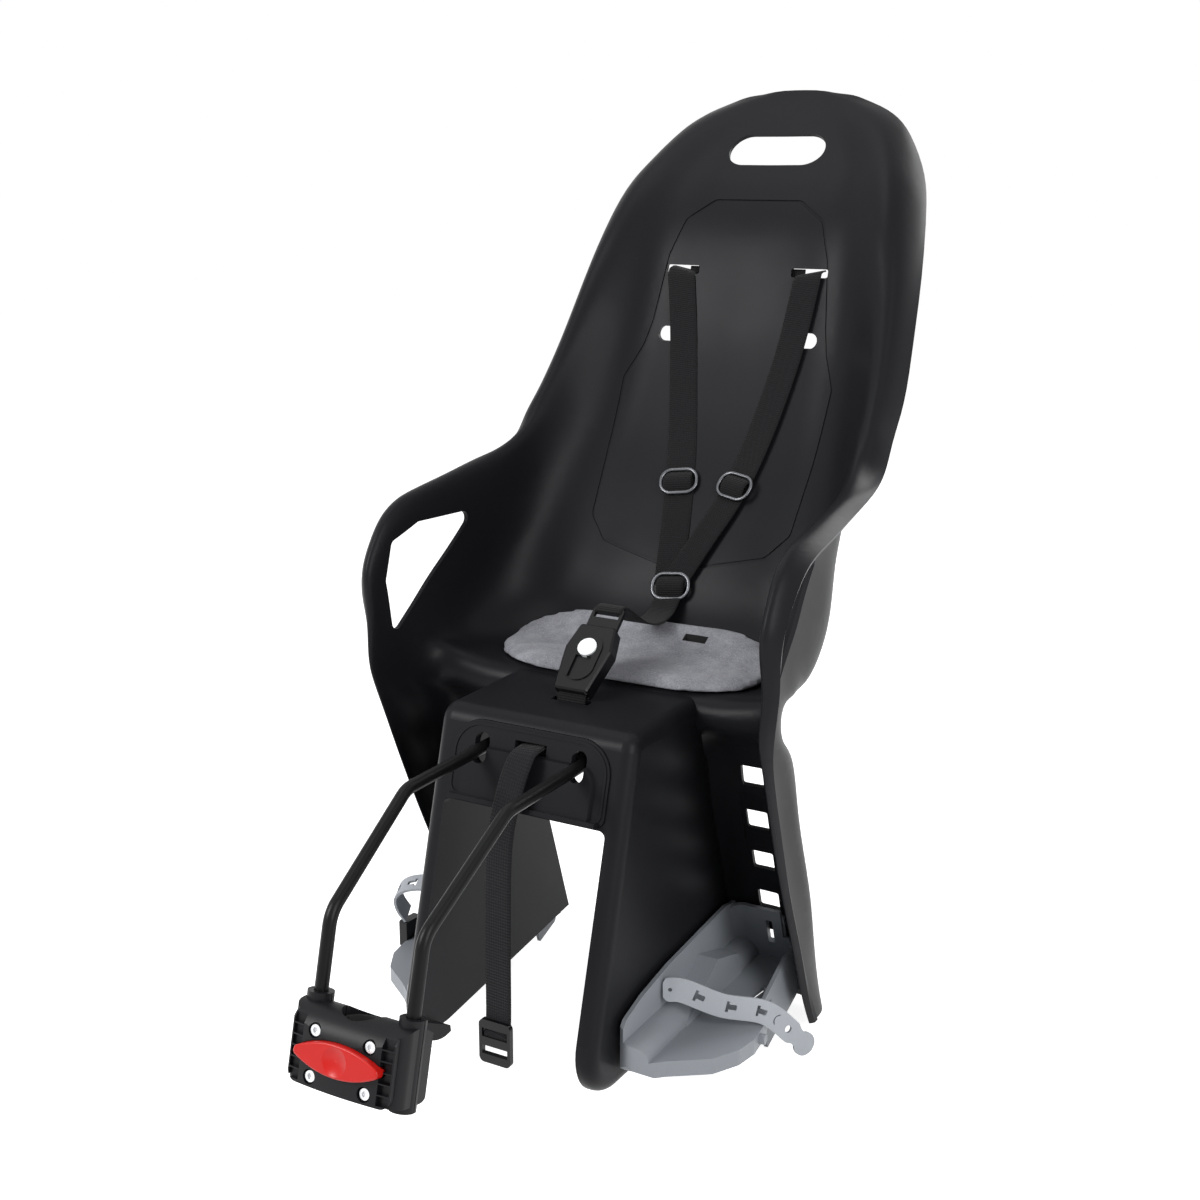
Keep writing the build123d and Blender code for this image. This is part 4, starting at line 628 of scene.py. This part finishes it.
# %% Free webbing
WAIST_LINE = [
    (2, 471, 226), (3, 455, 216), (4, 432, 213), (3, 408, 219), (1, 386, 233), (0, 374, 240.5),
    (0, 366, 241), (0, 361.5, 238),
]
CROTCH_LINE = [(0, 306, 187.5), (0, 301.5, 183), (0, 298.8, 176), (0, 298.8, 163)]
REAR_LINE = [(-60, 634.4, 508), (0, 634.4, 508), (60, 634.4, 508)]
SAFETY_LINE = [
    (0, 262, 154.5), (0, 243, 154.6), (0, 226, 153.6), (-1, 217, 147), (-5, 208, 123),
    (-11, 201.5, 78), (-15, 203.5, 0), (-19.3, 208.6, -82), (-21, 207, -98), (-21.3, 207, -106),
]
free_webbing = (
    ("waist_web", "waist_strap", WAIST_LINE, (1, 0, 0), HARNESS_WIDTH - 2, 1.7, harness_polyester),
    ("crotch_web", "crotch_strap", CROTCH_LINE, (1, 0, 0), HARNESS_WIDTH - 1, 1.7, harness_polyester),
    ("rear_web", "rear_strap", REAR_LINE, (0, 0.29, 0.957), 15.0, 1.7, harness_polyester),
    ("safety_web", "safety_strap", SAFETY_LINE, (1, 0, 0.1), 25.0, 2.6, safety_polyester),
)
for name, node, guides, across, width, thick, material in free_webbing:
    frames = strap_frames(smooth_line(guides), across)
    piece_from(name, woven_mesh(name, frames, width, thick), material, "seat", node)
    print(name, "is", round(frames[-1][3]), "mm long")

# %% [markdown]
# A foot strap is moulded flat from soft elastomer, with T-shaped holes for a stud, and takes its bend
# when it is fitted. It is made the same way here: a flat band with its holes cut through, then each
# point is carried from the flat to its place along the bent line.

# %% Foot straps
FOOT_STRAP_THICK = 2.4
FOOT_STRAP_HALF = 10.0


def flat_band(length, half_width):
    """A closed flat band: along from 0 to its length, across by a width that changes, up by the thickness."""
    rows, columns = max(8, round(length / 1.5)), 9
    places, faces = [], []
    for level in (0.0, FOOT_STRAP_THICK):
        for r in range(rows + 1):
            u = length * r / rows
            places += [(u, half_width(u) * (2 * c / (columns - 1) - 1), level) for c in range(columns)]
    layer = (rows + 1) * columns
    for r in range(rows):
        for c in range(columns - 1):
            low = (r * columns + c, r * columns + c + 1, (r + 1) * columns + c + 1, (r + 1) * columns + c)
            faces += [low[::-1], tuple(i + layer for i in low)]
    rim = [r * columns for r in range(rows + 1)]
    rim += [rows * columns + c for c in range(1, columns)]
    rim += [r * columns + columns - 1 for r in range(rows - 1, -1, -1)]
    rim += list(range(columns - 2, 0, -1))
    faces += [(i, j, j + layer, i + layer) for i, j in zip(rim, rim[1:] + rim[:1])]
    mesh = bpy.data.meshes.new("flat_band")
    mesh.from_pydata(places, [], faces)
    return mesh


def punch(outlines):
    """Cutters for a set of outlines in the flat, one prism each."""
    mesh = bpy.data.meshes.new("punch")
    solid = bmesh.new()
    for outline in outlines:
        low = [solid.verts.new((u, v, -2.0)) for u, v in outline]
        high = [solid.verts.new((u, v, FOOT_STRAP_THICK + 2.0)) for u, v in outline]
        solid.faces.new(low[::-1])
        solid.faces.new(high)
        for i in range(len(low)):
            n = (i + 1) % len(low)
            solid.faces.new((low[i], low[n], high[n], high[i]))
    bmesh.ops.recalc_face_normals(solid, faces=solid.faces)
    solid.to_mesh(mesh)
    solid.free()
    return mesh


def cut_mesh(mesh, cutter):
    """The mesh with the cutter taken out of it."""
    body = bpy.data.objects.new("body_to_cut", mesh)
    tool = bpy.data.objects.new("cutting_tool", cutter)
    for thing in (body, tool):
        scene.collection.objects.link(thing)
    cut = body.modifiers.new("cut", "BOOLEAN")
    cut.operation = "DIFFERENCE"
    cut.solver = "EXACT"
    cut.object = tool
    result = bpy.data.meshes.new_from_object(body.evaluated_get(bpy.context.evaluated_depsgraph_get()))
    for thing in (body, tool):
        bpy.data.objects.remove(thing)
    return result


def t_hole(u):
    """The outline of a T: a bar across for the head of the stud, and a stem along for its neck."""
    half = [(0.0, 4.6), (2.6, 4.6), (2.6, 2.3), (9.0, 2.3), (9.6, 1.4)]
    return [(u + a, -v) for a, v in half] + [(u + a, v) for a, v in reversed(half)]


def round_hole(u, radius, sides=14):
    turn = 2 * math.pi / sides
    return [(u + radius * math.cos(k * turn), radius * math.sin(k * turn)) for k in range(sides)]


def keeper_slit(u):
    """A thin slit in the shape of a C, round the tab that keeps the loose end down."""
    turns = [math.radians(d) for d in range(-70, 71, 20)]
    outer = [(u - 5.4 * math.cos(a), 5.4 * math.sin(a)) for a in turns]
    inner = [(u - 4.2 * math.cos(a), 4.2 * math.sin(a)) for a in reversed(turns)]
    return outer + inner


def bent_band(mesh, frames):
    """Carries each point of a flat band to its place along the frames."""
    lengths = [frame[3] for frame in frames]
    for vertex in mesh.vertices:
        u, v, w = vertex.co
        last = len(lengths) - 1
        i = max(1, next((k for k, at in enumerate(lengths) if at >= u), last))
        share = (u - lengths[i - 1]) / (lengths[i] - lengths[i - 1])
        near, far = frames[i - 1], frames[i]
        spot, side, up = (near[k].lerp(far[k], share) for k in range(3))
        vertex.co = spot + (side.normalized() * v + up.normalized() * w) * MM
    mesh.shade_smooth()
    mesh.set_sharp_from_angle(angle=math.radians(40))
    return mesh


def rounded_tip(length):
    """Half the width of a foot strap: full, then a waist and a round tip to pull on."""
    full, neck, tip = FOOT_STRAP_HALF, 7.4, 10.5

    def half_width(u):
        left = length - u
        if u < 5.0:
            return full - 4.0 * (1 - u / 5.0) ** 2
        if left < 2 * tip:
            chord = math.sqrt(max(0.0, tip**2 - (tip - left) ** 2))
            return max(chord, neck) if left > tip else max(chord, 1.2)
        ease = min(1.0, (left - 2 * tip) / 8.0)
        return neck + (full - neck) * ease * ease * (3 - 2 * ease)

    return half_width


OPEN_LINE = [
    (104, 270, -52), (119, 277, -52), (147, 294, -66),
    (177, 317, -76), (194, 338, -101), (205, 352, -121),
]
CLOSED_LINE = [
    (-107, 271, -56), (-112, 278, -40), (-130, 290, -27), (-150, 297, -25),
    (-170, 295, -29), (-182, 294, -38), (-184.5, 299, -52), (-181.5, 306, -65.5),
]
foot_straps = (
    (
        "open_foot_strap", "foot_strap_left", "left_footrest",
        OPEN_LINE, (0.15, 0.35, 0.93), (27, 56, 83), (102, 121),
    ),
    (
        "closed_foot_strap", "foot_strap_right", "right_footrest",
        CLOSED_LINE, (-0.3, 0.9, 0.3), (24, 42, 60, 78, 96), (),
    ),
)
for name, node, body, guides, across, holes, ends in foot_straps:
    frames = strap_frames(smooth_line(guides), across)
    length = frames[-1][3]
    outlines = [t_hole(u) for u in holes] + [round_hole(6.0, 1.7)]
    if ends:
        outlines += [keeper_slit(ends[0] + 5), round_hole(ends[1], 3.4)]
    band = flat_band(length, rounded_tip(length) if ends else (lambda u: FOOT_STRAP_HALF))
    band = bent_band(cut_mesh(band, punch(outlines)), frames)
    piece_from(name, band, strap_elastomer, body, node)
    print(name, "is", round(length), "mm long")

# %% [markdown]
# The pad on the pan is a thick needled felt with a soft cut edge. It is copied from its solid, remeshed
# fine enough to bend, and blown up a little by a cloth simulation with pressure, so that its top is
# crowned and its edge rolls. Its underside stays on the pan. Two slots let a lap belt through.

# %% Felt pad
PAD_VOXEL = 4.0
PAD_SWELL = 1.6
PAD_PRESSURE = 4.0
PAD_STEPS = 20
SLOT_Z = 190.0
SLOT_CUT = 60.0
pad_mesh = nodes["seat_cushion"].data.copy()
felt_pad = bpy.data.objects.new("felt_pad", pad_mesh)
scene.collection.objects.link(felt_pad)
grid = felt_pad.modifiers.new("grid", "REMESH")
grid.mode = "VOXEL"
grid.voxel_size = PAD_VOXEL * MM


def applied_mesh(piece):
    """The mesh of a piece with its modifiers worked in."""
    return bpy.data.meshes.new_from_object(piece.evaluated_get(bpy.context.evaluated_depsgraph_get()))


felt_pad.data = applied_mesh(felt_pad)
felt_pad.modifiers.clear()
soften = felt_pad.modifiers.new("soften", "SMOOTH")
soften.factor, soften.iterations = 0.5, 6
felt_pad.data = applied_mesh(felt_pad)
felt_pad.modifiers.clear()
before = [v.co.copy() for v in felt_pad.data.vertices]
swell = felt_pad.modifiers.new("swell", "CLOTH")
swell.settings.use_pressure = True
swell.settings.uniform_pressure_force = PAD_PRESSURE
swell.settings.effector_weights.gravity = 0.0
swell.point_cache.frame_start, swell.point_cache.frame_end = 1, PAD_STEPS
for step in range(1, PAD_STEPS + 1):
    scene.frame_set(step)
blown = applied_mesh(felt_pad)
felt_pad.modifiers.clear()
scene.frame_set(1)
for vertex, start, end in zip(felt_pad.data.vertices, before, blown.vertices):
    move = end.co - start
    if move.length > PAD_SWELL * MM:
        move = move.normalized() * PAD_SWELL * MM
    if vertex.normal.z > 0.0:
        vertex.co = start + move
finer = felt_pad.modifiers.new("finer", "SUBSURF")
finer.levels = finer.render_levels = 1
pad_mesh = applied_mesh(felt_pad)
bpy.data.objects.remove(felt_pad)
slots = bmesh.new()
for side in (1, -1):
    box = bmesh.ops.create_cube(slots, size=1.0)["verts"]
    for vertex in box:
        x, y, z = vertex.co
        place = (side * SLOT_X + x * SLOT_SIZE[0], SLOT_Y + y * SLOT_SIZE[1], SLOT_Z + z * SLOT_CUT)
        vertex.co = Vector(place) * MM
slot_tool = bpy.data.meshes.new("belt_slots")
slots.to_mesh(slot_tool)
slots.free()
pad_mesh = cut_mesh(pad_mesh, slot_tool)
pad_mesh.shade_smooth()
pad_mesh.set_sharp_from_angle(angle=math.radians(55))
felt_pad = piece_from("felt_pad", pad_mesh, pad_felt, "seat", "seat_cushion")
print("felt pad has", len(pad_mesh.polygons), "faces")
